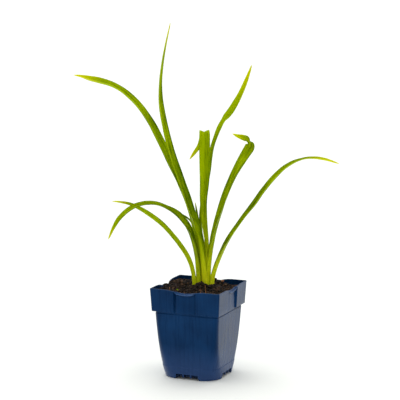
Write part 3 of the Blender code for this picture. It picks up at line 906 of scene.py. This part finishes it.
@dataclass(frozen=True)
class Scatter:
    """Loose bits that lie on the compost, all of one kind and joined to one piece."""

    name: str
    count: int
    size: tuple[float, float]      # smallest and largest length
    stretch: tuple[float, float, float]
    seed: int
    sunk: float = 0.3              # share of a bit's height that is in the compost
    shade_power: float = 1.0       # the higher, the fewer are pale
    size_power: float = 2.5        # the higher, the fewer are large
    rough: float = 0.35
    kinds: int = 5
    reach: float = 39.5            # they lie within this distance of the middle
    tilt: float = 0.5

    def model(self, seed: int) -> bpy.types.Mesh:
        """Models one bit: a ball that is drawn out, dented and left angular.

        Args:
            seed: Makes each model another shape.

        Returns:
            Its mesh, about one unit long.
        """
        bpy.ops.object.select_all(action="DESELECT")
        bpy.ops.mesh.primitive_uv_sphere_add(segments=8, ring_count=5, radius=0.5)
        ball = bpy.context.object
        with editing(ball) as shape:
            for vert in shape.verts:
                dent = noise.noise(vert.co * 2.2 + Vector((seed * 3.7, seed, 0)))
                vert.co *= 1 + self.rough * 2 * dent
            bpy.ops.mesh.select_all(action="SELECT")
            bpy.ops.transform.resize(value=self.stretch)
        mesh = ball.data
        bpy.data.objects.remove(ball)
        return mesh

    def build(self, compost: Compost, finish: bpy.types.Material) -> bpy.types.Object:
        """Scatters the bits over the compost.

        Args:
            compost: The compost.
            finish: Their material.

        Returns:
            The bits, as one piece.
        """
        rng = random.Random(self.seed)
        models = [self.model(self.seed + k) for k in range(self.kinds)]
        joined = bmesh.new()
        layer = joined.verts.layers.float.new("shade")
        for number in range(self.count):
            x, y = (rng.uniform(-self.reach, self.reach) for _ in range(2))
            share = rng.random() ** self.size_power
            size = self.size[0] + (self.size[1] - self.size[0]) * share
            shade = rng.random() ** self.shade_power
            turn = Matrix.Rotation(rng.uniform(0, math.tau), 4, "Z")
            for axis in "XY":
                turn = turn @ Matrix.Rotation(rng.uniform(-self.tilt, self.tilt), 4, axis)
            lift = size * self.stretch[2] * (0.5 - self.sunk)
            place = Vector((x, y, compost.crumbled(x, y) + lift)) * MM
            before = len(joined.verts)
            joined.from_mesh(models[number % self.kinds])
            joined.verts.ensure_lookup_table()
            shape = Matrix.Translation(place) @ turn @ Matrix.Scale(size * MM, 4)
            for vert in joined.verts[before:]:
                vert.co = shape @ vert.co
                vert[layer] = shade
        mesh = bpy.data.meshes.new(self.name)
        joined.to_mesh(mesh)
        joined.free()
        piece = bpy.data.objects.new(self.name, mesh)
        bpy.context.scene.collection.objects.link(piece)
        for model in models:
            bpy.data.meshes.remove(model)
        select_only(piece)
        bpy.ops.object.shade_smooth_by_angle(angle=math.radians(35))
        return settle(piece, Slot.COMPOST, finish)


@dataclass(frozen=True)
class StrayBits:
    """Single things that lie on the compost: fine roots, one pale chip and one green sprout."""

    # Each root's place across the fan, its two ends back in it, and a seed
    roots: tuple = ((2.2, -13.0, -37.0, 5), (8.1, -12.0, -38.0, 9), (-31.0, -14.0, -30.0, 14),
                    (-35.0, -8.0, -20.0, 21))
    root_radius: float = 0.36
    root_wander: float = 2.2
    root_lift: float = 1.1
    lump_lift: float = 1.2
    lump_turn: tuple[float, float, float] = (0.3, -0.35, 0.6)
    chip: tuple[float, float] = (27.9, 22.0)
    chip_size: tuple[float, float, float] = (6.5, 3.6, 2.2)
    sprout: tuple[float, float] = (-25.3, -23.0)
    sprout_size: tuple[float, float, float] = (1.8, 1.6, 2.4)

    def on_top(self, compost: Compost, across: float, back: float, lift: float) -> Vector:
        """A point over the compost.

        Args:
            compost: The compost.
            across: Its distance across the fan.
            back: Its distance back.
            lift: Its height over the surface.

        Returns:
            The point, in millimetres.
        """
        place = fan_point(0, across, back)
        return Vector((place.x, place.y, compost.crumbled(place.x, place.y) + lift))

    def lay_roots(self, compost: Compost, finish: bpy.types.Material) -> None:
        """Lays fine roots over the surface, each a thin round strand that wanders a little.

        Args:
            compost: The compost.
            finish: The roots' material.
        """
        curve = bpy.data.curves.new("fine_roots", "CURVE")
        curve.dimensions = "3D"
        curve.bevel_depth = self.root_radius * MM
        curve.bevel_resolution = 2
        curve.use_fill_caps = True
        for across, near, far, seed in self.roots:
            spline = curve.splines.new("NURBS")
            spline.use_endpoint_u = True
            count = round(abs(far - near) / 2)
            spline.points.add(count)
            for k, point in enumerate(spline.points):
                back = near + (far - near) * k / count
                wander = self.root_wander * noise.noise(Vector((seed, back / 9, 0)))
                place = self.on_top(compost, across + wander, back, self.root_lift)
                point.co = (*(place * MM), 1.0)
        roots = bpy.data.objects.new("fine_roots", curve)
        bpy.context.scene.collection.objects.link(roots)
        select_only(roots)
        bpy.ops.object.convert(target="MESH")
        bpy.ops.object.shade_smooth()
        settle(bpy.context.object, Slot.ROOT, finish)

    def lay(self, name: str, slot: Slot, finish: bpy.types.Material, place: Vector,
            size: tuple[float, float, float]) -> None:
        """Lays one small lump.

        Args:
            name: The piece's name.
            slot: Its material slot.
            finish: Its material.
            place: Its middle, in millimetres.
            size: Its length, width and height.
        """
        bpy.ops.object.select_all(action="DESELECT")
        bpy.ops.mesh.primitive_ico_sphere_add(subdivisions=3, radius=0.5 * MM, location=place * MM)
        lump = bpy.context.object
        lump.name = lump.data.name = name
        with editing(lump) as shape:
            for vert in shape.verts:
                vert.co *= 1 + 0.5 * noise.noise(vert.co / MM * 2.4)
            bpy.ops.mesh.select_all(action="SELECT")
            bpy.ops.transform.resize(value=size)
        lump.rotation_euler = self.lump_turn
        settle(lump, slot, finish)

    def build(self, compost: Compost, root: bpy.types.Material, leaf: bpy.types.Material) -> None:
        """Lays all of them.

        Args:
            compost: The compost.
            root: The roots' material, which the pale chip shares.
            leaf: The leaves' material.
        """
        self.lay_roots(compost, root)
        place = self.on_top(compost, *self.chip, self.lump_lift)
        self.lay("pale_chip", Slot.COMPOST, root, place, self.chip_size)
        place = self.on_top(compost, *self.sprout, self.lump_lift)
        self.lay("green_sprout", Slot.LEAF, leaf, place, self.sprout_size)


# The leaves


@dataclass(frozen=True)
class StrapLeaf:
    """One strap leaf, as places along it from the foot to the tip.

    Each place holds its height, its distance across and back in the fan, the blade's width when
    opened flat, how far each half rises from flat, and which way the hollow side looks: 0 back,
    90 across, 180 forward and 270 to the fan's left (both angles in degrees).
    """

    name: str
    places: tuple
    creased: tuple[int, ...] = ()
    tip: float = 12.0              # length of the yellow tip
    scorch: tuple = ()             # distance from the tip and half length of a dry spot
    greens_and_shades: tuple[float, float] = (0.45, 0.45)    # each half's green at sides -1 and 1, partly painted shade on the half away from the light
    foot: tuple[float, float] = (0.7, 1.0)       # paleness of the same halves at the foot: a real pale foot, with painted light on the brighter half
    fade_start: float = 12.0
    fade: float = 60.0             # length over which the paleness fades
    sheath: float = 3.0            # growth of the blade's width at its sheathing foot
    sheath_length: float = 78.0
    margin: float = 0.15           # the blade's edge, beyond its measured width
    thickness: float = 0.62        # at the keel
    thinned: float = 0.55          # share that is lost towards the margins
    blunt: float = 3.0             # length of the narrowed end
    ripple: float = 0.35           # waviness of the margins, from ripple_start on
    ripple_start: float = 25.0
    ripple_grown: float = 60.0     # length over which it grows
    ripple_length: float = 17.0
    seed: int = 0
    columns: int = 9               # in each half
    pitch: float = 2.4
    crease_pitch: float = 0.8
    keel_round: float = 0.14
    keel_blend: float = 0.16       # the halves' painted shades meet over this share of the width
    pleats: int = 3
    pleat: float = 0.016           # height of the pleats, as a share of the half width
    bulge: float = 0.05            # how far the halves bulge, as a share of the same
    tone_grown: float = 110.0      # the green is full from this distance on

    def spacing(self) -> list[float]:
        """Distance of each place from the foot.

        Returns:
            Shares of the way to the tip.
        """
        walked = [0.0]
        for near, far in zip(self.places, self.places[1:]):
            walked.append(walked[-1] + math.dist(near[:3], far[:3]))
        return [distance / walked[-1] for distance in walked]

    def read(self, column: int, share: float) -> float:
        """Reads a smooth line through one column of the places.

        Args:
            column: Number of the column.
            share: Share of the leaf's length.

        Returns:
            The value there.
        """
        shares, values = self.spacing(), [place[column] for place in self.places]
        last = len(shares) - 1
        k = max(i for i in range(last) if shares[i] <= share or i == 0)
        slopes = []
        for i in (k, k + 1):
            low, high = max(i - 1, 0), min(i + 1, last)
            slopes.append((values[high] - values[low]) / (shares[high] - shares[low]))
        run = shares[k + 1] - shares[k]
        t = (share - shares[k]) / run
        return ((1 + 2 * t) * (1 - t) ** 2 * values[k] + t * (1 - t) ** 2 * run * slopes[0]
                + t * t * (3 - 2 * t) * values[k + 1] + t * t * (t - 1) * run * slopes[1])

    def guide(self) -> bpy.types.Object:
        """The curve that the leaf follows, with up along its own X, across along Y, back along Z.

        Returns:
            The curve, stood up in the fan.
        """
        curve = bpy.data.curves.new(self.name + "_route", "CURVE")
        curve.dimensions = "3D"
        curve.twist_mode = "MINIMUM"
        curve.resolution_u = 24
        spline = curve.splines.new("BEZIER")
        spline.tilt_interpolation = "CARDINAL"
        spline.bezier_points.add(len(self.places) - 1)
        for knot, (up, across, back, _, _, looks) in zip(spline.bezier_points, self.places):
            knot.co = Vector((up, across, back)) * MM
            knot.handle_left_type = knot.handle_right_type = "AUTO"
            knot.tilt = -math.radians(looks)
        route = bpy.data.objects.new(self.name + "_route", curve)
        bpy.context.scene.collection.objects.link(route)
        route.matrix_world = fan_frame()
        return route

    def stations(self, length: float) -> list[float]:
        """Where the blade has its rows of points, which are closer together at a crease.

        Args:
            length: Length of the blade.

        Returns:
            Shares of the length.
        """
        count = round(length / self.pitch)
        places = [k / count for k in range(count + 1)]
        if self.creased:
            shares = self.spacing()
            low, high = (shares[k] for k in self.creased)
            places = [p for p in places if not low - 0.004 < p < high + 0.004]
            close = round((high - low) * length / self.crease_pitch)
            places += [low + (high - low) * k / close for k in range(close + 1)]
        return sorted(places)

    def point(self, share: float, side: float, length: float) -> Vector:
        """A point of the straight blade.

        Args:
            share: Share of the length.
            side: Place across the blade, from -1 to 1.
            length: Length of the blade.

        Returns:
            The point, in millimetres, with the hollow side up.
        """
        walked, left = share * length, (1 - share) * length
        half = self.read(3, share) / 2
        fold = math.radians(self.read(4, share))
        middle = half * math.sin(fold) / 2
        half += self.margin + self.sheath / 2 * (1 - eased(walked / self.sheath_length))
        if left < self.blunt:
            half *= 0.2 + 0.8 * left / self.blunt
        wide, rise = half * math.cos(fold), half * math.sin(fold)
        out, keel = abs(side), self.keel_round
        bowl = (math.hypot(out, keel) - keel) / (math.hypot(1, keel) - keel)
        pleat = self.pleat * half * math.cos(math.tau * self.pleats * out) * (1 - out**4)
        bulge = self.bulge * half * math.sin(math.pi * out)
        wave = noise.noise(Vector((walked / self.ripple_length, self.seed * 5.3,
                                   2.0 if side > 0 else -2.0)))
        grown = clamped((walked - self.ripple_start) / self.ripple_grown)
        ripple = self.ripple * wave * out**2 * grown * min(1.0, half / 4)
        return Vector((walked, side * wide, bowl * rise - middle + pleat + bulge + ripple))

    def build(self, finish: bpy.types.Material) -> bpy.types.Object:
        """Builds the leaf: a grid becomes a straight keeled blade, is bent and then thickened.

        Args:
            finish: The leaves' material.

        Returns:
            The leaf.
        """
        route = self.guide()
        length = route.data.splines[0].calc_length() / MM
        stations = self.stations(length)
        rows, across = len(stations) - 1, 2 * self.columns
        bpy.ops.object.select_all(action="DESELECT")
        bpy.ops.mesh.primitive_grid_add(x_subdivisions=rows, y_subdivisions=across, size=2)
        piece = bpy.context.object
        piece.name = piece.data.name = self.name.replace("leaf_", "blade_")
        with editing(piece) as shape:
            chart = shape.loops.layers.uv.verify()
            readers = {"green_and_shade": self.green_and_shade, "paleness_and_light": self.paleness_and_light,
                       "ripeness": self.ripeness, "scorch": self.scorched}
            tints = {name: shape.verts.layers.float.new(name) for name in readers}
            weight = shape.verts.layers.deform.verify()
            for vert in shape.verts:
                row, side = round((vert.co.x + 1) / 2 * rows), vert.co.y
                share = stations[row]
                for name, reader in readers.items():
                    vert[tints[name]] = reader(share, length, side)
                vert[weight][0] = 1.0 - self.thinned * abs(side) ** 1.5
                for loop in vert.link_loops:
                    loop[chart].uv = (share * length / CHART_MM, (side + 1) / 2 + self.seed)
                vert.co = self.point(share, side, length) * MM
        piece.data.uv_layers[0].name = "blade"
        piece.vertex_groups.new(name="thickness")
        piece.matrix_world = fan_frame()
        bend = piece.modifiers.new("follow_route", "CURVE")
        bend.object = route
        bend.deform_axis = "POS_X"
        thicken = piece.modifiers.new("thicken", "SOLIDIFY")
        thicken.thickness = self.thickness * MM
        thicken.offset = 0.0
        thicken.vertex_group = "thickness"
        apply_modifiers(piece)
        bpy.data.objects.remove(route)
        select_only(piece)
        bpy.ops.object.shade_smooth_by_angle(angle=math.radians(50))
        return settle(piece, Slot.LEAF, finish, self.name)

    def of_halves(self, pair: tuple[float, float], side: float) -> float:
        """Reads a value given for the two halves, with a quick change over the keel."""
        across = max(-1.0, min(1.0, side / self.keel_blend))
        return (pair[0] * (1 - across) + pair[1] * (1 + across)) / 2

    def green_and_shade(self, share: float, length: float, side: float) -> float:
        """How deep the green is, with painted shade: each half has its own green and painted shade,
        and the tip is livelier.

        Args:
            share: Share of the length.
            length: Length of the blade.
            side: Place across the blade, from -1 to 1.

        Returns:
            How deep the green and the painted shade are, mostly from 0 to 1.
        """
        # The margins are deeper than the rest, and the young foot is lighter.
        # Each half's value is partly painted shade, deeper on the half that lies in shade.
        tone = self.of_halves(self.greens_and_shades, side)
        edge = 0.35 * max(0.0, abs(side) - 0.7) / 0.3
        grown = clamped(share * length / self.tone_grown)
        return tone * (0.35 + 0.65 * grown) + edge - 0.3 * share**2.5

    def paleness_and_light(self, share: float, length: float, side: float) -> float:
        """How pale the leaf is, from 0 to 1: its foot grew without light, and each half is also
        painted paler as painted light where light falls on it.
        """
        lit = clamped(1.0 - (share * length - self.fade_start) / self.fade)
        return self.of_halves(self.foot, side) * lit**1.2

    def ripeness(self, share: float, length: float, side: float) -> float:
        """How yellow the leaf is, from 0 to 1: its tip ripens first, along its margins."""
        reach = self.tip * (1 + 0.5 * abs(side))
        return clamped(1.0 - (1 - share) * length / reach)

    def scorched(self, share: float, length: float, side: float) -> float:
        """How dry the leaf is: a spot on one half, near the tip.

        Args:
            share: Share of the length.
            length: Length of the blade.
            side: Place across the blade, from -1 to 1.

        Returns:
            The dryness, from 0 to 1.
        """
        if not self.scorch:
            return 0.0
        middle, reach = self.scorch
        away = abs((1 - share) * length - middle) / reach
        return 0.4 * clamped(1.0 - away) * clamped(0.2 + 1.5 * side)


LEAVES = (
    StrapLeaf("leaf_long_arching_left", (
        (98, 3.2, 1.9, 7, 56, 90),
        (115, 3.0, 2.0, 8.4, 56, 90),
        (137, 1.4, 2.7, 10, 54, 90),
        (164, -2.8, 3.6, 12, 50, 95),
        (202, -11.5, 4.8, 14.4, 42, 110),
        (231, -22.9, 5.4, 15, 36, 122),
        (260, -36.0, 7, 14.6, 32, 130),
        (289, -49.7, 9, 14.4, 30, 130),
        (315, -64.3, 11, 12.2, 28, 130),
        (333, -79.4, 14, 11.6, 26, 130),
        (348.1, -99.6, 16, 9.4, 24, 135),
        (354.8, -119.2, 18.5, 9.4, 20, 140),
        (357.1, -130, 20, 8.4, 18, 140),
        (360, -141.2, 21, 4, 16, 140),
        (361.4, -150, 22, 1.2, 16, 140)), tip=30.0, greens_and_shades=(0.45, 0.2), sheath=6.0, seed=1),
    StrapLeaf("leaf_tallest", (
        (98, 5.2, -1.6, 7, 56, 90),
        (115, 5.2, -1.7, 8.4, 56, 90),
        (138, 3.9, -3.2, 9.2, 54, 95),
        (165, 1.2, -4.1, 11.6, 48, 108),
        (184, -4.2, -4.8, 13.6, 42, 118),
        (208, -12.0, -5.6, 14.4, 36, 126),
        (239, -22.4, -6.7, 13.4, 32, 130),
        (271, -32.9, -7.8, 12.2, 28, 130),
        (303, -40.6, -9.2, 10.4, 24, 134),
        (332, -45.1, -11, 8.6, 20, 130),
        (355, -45.4, -12.4, 6.8, 18, 120),
        (389, -41.1, -14, 5.4, 15, 115),
        (424.5, -33.4, -16, 2.2, 12, 112)), tip=34.0, greens_and_shades=(0.56, 0.08), sheath=8.0,
        sheath_length=105.0, seed=2),
    StrapLeaf("leaf_centre_folded_over", (
        (98, 8.6, -1.4, 6.6, 58, 90),
        (115, 8.6, -1.3, 7.4, 58, 92),
        (137, 9.4, -1.2, 7.8, 57, 105),
        (164, 8.2, 0.2, 10.0, 56, 145),
        (183, 6.7, 0.8, 10.8, 53, 165),
        (198, 6.0, 1.0, 11.4, 50, 178),
        (213, 5.6, 1.4, 12.4, 47, 180),
        (237, 6.9, 2, 14.2, 38, 180),
        (261, 6.9, 2.6, 14.2, 30, 180),
        (285, 6.9, 3.4, 14.2, 26, 180),
        (293.4, 6.8, 4.4, 13.4, 24, 177),
        (295.6, 6.4, 7, 12, 22, 172),
        (291.4, 5.5, 9.6, 9.2, 20, 174),
        (285, 3.8, 10.2, 7.6, 18, 178),
        (277.3, 0.8, 10.6, 6, 16, 180),
        (269, -4.9, 11, 4.8, 14, 180),
        (260.6, -11.1, 11.5, 1.2, 12, 180)), creased=(9, 13), tip=24.0, scorch=(6.0, 3.0),
        greens_and_shades=(0.52, 0.12), fade=100.0, sheath=5.0, seed=3),
    StrapLeaf("leaf_upright_right", (
        (98, 7.6, 3.5, 5, 56, 270),
        (112, 7.5, 3.8, 5.2, 56, 270),
        (130, 7.3, 6.6, 7, 55, 270),
        (145, 6.3, 8.0, 8, 53, 267),
        (160, 5.0, 8.5, 8, 50, 260),
        (173, 3.0, 8.7, 7.6, 47, 252),
        (188, 3.3, 9, 8.6, 42, 240),
        (203, 4.9, 9.4, 9.4, 38, 228),
        (218, 7.1, 9.8, 10, 35, 217),
        (233, 9.3, 10.1, 10, 34, 215),
        (250, 12.2, 10.5, 9.6, 34, 216),
        (267, 14.9, 11, 8, 32, 222),
        (278, 17.3, 11.6, 6.6, 29, 222),
        (288, 20.5, 12.3, 6.2, 26, 218),
        (298.3, 24.6, 13.4, 6.8, 24, 215),
        (308.5, 30.2, 15, 6.6, 24, 214),
        (311.8, 32.8, 15.4, 8.2, 21, 202),
        (318, 37.8, 16.5, 8.4, 20, 195),
        (326.5, 43.1, 17.5, 7.8, 19, 192),
        (339, 49.9, 19, 6.1, 18, 190),
        (356, 57.2, 20.7, 4.4, 16, 185),
        (373.5, 63.6, 22, 1.2, 14, 180)), tip=38.0, greens_and_shades=(0.42, 0.0), foot=(1.0, 0.7), sheath=0.0,
        seed=4),
    StrapLeaf("leaf_kinked_right", (
        (98, 12.6, -1, 7, 56, 270),
        (115, 12.6, -1, 8, 56, 270),
        (137, 13.2, -1.2, 9.6, 54, 268),
        (164, 16.6, -1.6, 13, 48, 260),
        (180, 20.2, -2.2, 13.2, 45, 254),
        (203.8, 27.5, -2.9, 14, 38, 240),
        (237.8, 39.4, -4.4, 11, 31, 222),
        (255.8, 48.1, -5.2, 11.4, 26, 210),
        (271.2, 57.1, -6, 12.8, 22, 204),
        (278.2, 61.0, -6.5, 13, 20, 204),
        (282.2, 61.6, -7, 9.8, 20, 206),
        (284.6, 59.9, -7.4, 6.6, 22, 225),
        (288, 57.3, -7.6, 9.2, 22, 208),
        (289.6, 52.6, -7.2, 8.4, 20, 205),
        (291.2, 46.3, -6.7, 4.8, 18, 200),
        (293.7, 39.8, -6, 1.2, 16, 200)), creased=(9, 13), tip=14.0, greens_and_shades=(0.5, 0.5),
        foot=(1.0, 0.6), sheath=4.0, seed=5),
    StrapLeaf("leaf_arching_right", (
        (98, 16.4, -1, 7.6, 54, 270),
        (114, 16.8, -1, 9, 54, 270),
        (125, 18.8, -1.6, 10.0, 52, 268),
        (144.8, 25.8, -2.6, 10.4, 46, 260),
        (164.7, 35.1, -4, 10.6, 40, 252),
        (185.7, 48.7, -5.5, 9.4, 35, 245),
        (210, 66.5, -7.2, 9.6, 30, 236),
        (226.8, 77.8, -9, 8.6, 28, 232),
        (244, 91.8, -11.2, 8.4, 26, 234),
        (257.4, 106.9, -13.5, 6.6, 24, 238),
        (264.2, 121, -16, 4, 20, 242),
        (266.3, 132.7, -18.5, 4, 18, 242),
        (265.2, 147.3, -21, 4.2, 16, 242),
        (260, 165.4, -24, 1.3, 14, 242)), tip=38.0, greens_and_shades=(0.25, 0.66), foot=(0.8, 0.55),
        sheath=3.0, seed=6),
    StrapLeaf("leaf_drooping_left", (
        (98, -1.2, -1, 7.4, 56, 90),
        (115, -1.1, -1.2, 8.6, 56, 90),
        (128, -1.6, -1.6, 9.6, 54, 92),
        (145, -3.0, -2.4, 10.6, 50, 96),
        (164.8, -7.1, -3.1, 13, 44, 102),
        (177.7, -11.9, -4.4, 13.6, 38, 112),
        (186.4, -17.1, -5.8, 12.8, 34, 122),
        (197.5, -25.7, -8.6, 9.2, 28, 130),
        (206.6, -39.4, -12, 5.6, 26, 130),
        (211, -49.9, -14.6, 5.3, 25, 130),
        (212.1, -61.2, -17, 5.8, 24, 130),
        (211.4, -68.2, -19, 5.8, 23, 130),
        (208.7, -77, -21, 6, 22, 132),
        (196.2, -93.2, -25, 5.7, 22, 135),
        (185.8, -100.2, -27.5, 4.2, 20, 138),
        (170.5, -107.2, -30, 1.3, 16, 140)), tip=16.0, greens_and_shades=(0.6, 0.72), foot=(0.4, 0.42),
        sheath=3.6, seed=7),
    StrapLeaf("leaf_low_left", (
        (98, -6.0, 1, 7, 56, 90),
        (112, -6.1, 1.1, 8, 56, 90),
        (125, -7.4, 1.6, 9.8, 54, 88),
        (140.8, -12.4, 2.6, 11.6, 49, 82),
        (158.6, -23.8, 4, 13, 40, 74),
        (169.2, -32.5, 5.6, 13.4, 35, 69),
        (178.4, -41, 7.4, 13.2, 32, 65),
        (187.4, -51.8, 9.5, 13.2, 29, 62),
        (194.7, -62.9, 12, 12, 26, 60),
        (200.9, -73.6, 14, 9, 22, 58),
        (205.1, -83.2, 16.5, 6.8, 20, 58),
        (207.6, -96.5, 19, 4, 18, 58),
        (208.2, -105, 22, 1.2, 16, 58)), tip=18.0, scorch=(16.0, 2.2), greens_and_shades=(0.6, 0.35),
        foot=(0.4, 0.5), sheath=2.6, seed=8),
    StrapLeaf("leaf_short_inner", (
        (98, 11.4, 3.4, 3.2, 48, 90),
        (114, 11.2, 3.9, 3.4, 48, 90),
        (130, 9.8, 7.4, 3.8, 48, 92),
        (143, 6.8, 11, 4.4, 44, 100),
        (164, 2.2, 14, 5, 38, 114),
        (186, -1.4, 14, 4.8, 32, 124),
        (197, -2.9, 12.6, 3.8, 28, 128),
        (208.5, -4.3, 12.2, 1, 25, 130)), tip=5.0, greens_and_shades=(0.9, 0.9), sheath=1.0, seed=9),
    StrapLeaf("leaf_small_side", (
        (98, -2.7, 4.1, 3, 48, 90),
        (113, -2.7, 4.3, 3.2, 48, 90),
        (125, -2.3, 5.6, 3.6, 48, 90),
        (145, -1.8, 8.8, 4, 45, 90),
        (165, -2.4, 11.4, 4.4, 42, 90),
        (177, -5.0, 12, 4.8, 38, 92),
        (185, -9.4, 11.4, 4.8, 35, 94),
        (190, -14.6, 9.8, 4.2, 32, 96),
        (193.6, -19.6, 7.8, 3, 28, 98),
        (197, -26, 5.2, 1.2, 25, 100)), tip=5.0, greens_and_shades=(0.9, 0.9), sheath=1.0, seed=10),
)


# The studio


@dataclass(frozen=True)
class Studio:
    """A white floor under a white sky that is brightest overhead, and one broad soft light.

    The camera's place is given by its direction, its distance and the point that it looks at.
    """

    floor_m: float = 120.0
    sky_low: float = 0.35
    sky_high: float = 0.9
    key: float = 2.05
    key_spread: float = 76.0       # in degrees, so that its shadows are soft
    key_course: tuple[float, float, float] = (0.24, -0.3, -1.0)
    azimuth: float = 0.3996
    elevation: float = 0.1513
    distance: float = 1.79955
    shift_right: float = 0.001433
    aim_height: float = 0.21309
    lens: float = 135.0

    def floor(self, finish: bpy.types.Material) -> None:
        """Lays the floor.

        Args:
            finish: The floor's material.
        """
        bpy.ops.mesh.primitive_plane_add(size=self.floor_m, location=(0, 0, 0))
        floor = bpy.context.object
        floor.name = "floor"
        floor.data.materials.append(finish)

    def lights(self) -> None:
        """Lights the scene."""
        world = bpy.data.worlds.new("studio")
        world.use_nodes = True
        background = world.node_tree.nodes["Background"]
        view = add_node(world.node_tree, "TexCoord").outputs["Generated"]
        up = add_node(world.node_tree, "SeparateXYZ", {0: view}).outputs["Z"]
        glow = add_node(world.node_tree, "MapRange",
                        {"Value": up, "To Min": self.sky_low, "To Max": self.sky_high})
        connect(background, {"Color": (1, 1, 1, 1), "Strength": glow.outputs[0]})
        bpy.context.scene.world = world
        bpy.ops.object.light_add(type="SUN", location=(0, 0, 1))
        key = bpy.context.object
        key.name = "key_light"
        key.data.energy = self.key
        key.data.angle = math.radians(self.key_spread)
        key.rotation_euler = Vector(self.key_course).to_track_quat("-Z", "Y").to_euler()

    def camera(self) -> None:
        """Places the camera."""
        right = Vector((math.cos(self.azimuth), math.sin(self.azimuth), 0))
        ahead = Vector((-math.sin(self.azimuth), math.cos(self.azimuth), 0))
        ahead *= math.cos(self.elevation)
        ahead.z = -math.sin(self.elevation)
        aim = right * self.shift_right + Vector((0, 0, self.aim_height))
        camera = bpy.data.objects.new("camera", bpy.data.cameras.new("camera"))
        bpy.context.scene.collection.objects.link(camera)
        camera.data.lens = self.lens
        camera.data.sensor_width = 36.0
        camera.data.clip_end = 200.0
        camera.location = aim - ahead * self.distance
        camera.rotation_euler = ahead.to_track_quat("-Z", "Y").to_euler()
        bpy.context.scene.camera = camera


# The whole


SCATTERED = (
    (Scatter("peat_crumbs", 1100, (1.2, 4.4), (1.0, 0.8, 0.7), 11, shade_power=2.4),
     LooseBits("peat_crumb", "0C0805", "59402C", 1.2)),
    (Scatter("peat_clods", 150, (3.0, 7.5), (1.0, 0.85, 0.7), 15, shade_power=1.5, sunk=0.45,
             rough=0.5),
     LooseBits("peat_clod", "080503", "30211A", 1.6)),
    (Scatter("bark_chips", 120, (2.5, 8.0), (1.0, 0.34, 0.16), 12, shade_power=1.6, rough=0.25),
     LooseBits("shredded_bark", "24160E", "8A5F38", 0.8, 0.8)),
)
DRY_ROOT = LooseBits("dry_root_bark", "7A4E2A", "A87C4C", 1.0, 0.7)
FLESHY_ROOT = LooseBits("fleshy_root", "8A6A3A", "C9B078", 1.5, 0.6)


def main() -> None:
    """Builds the pot, the compost and the leaves, then the studio round them."""
    logging.basicConfig(level=logging.INFO, format="%(name)s: %(message)s")
    studio = Studio()
    studio.camera()
    pot = NurseryPot()
    pot.build(MouldedPolypropylene().make())
    compost = Compost()
    compost.build(pot, PeatCompost().make())
    for bits, stuff in SCATTERED:
        bits.build(compost, stuff.make())
    tissue = LeafTissue().make()
    StrayBits().build(compost, DRY_ROOT.make(), tissue)
    for leaf in LEAVES:
        leaf.build(tissue)
    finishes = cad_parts["crown_and_roots"].data.materials
    finishes.clear()
    finishes.append(FLESHY_ROOT.make())
    studio.floor(StudioBoard().make())
    studio.lights()
    bpy.context.scene.view_settings.view_transform = "Standard"


if __name__ == "__main__":
    main()
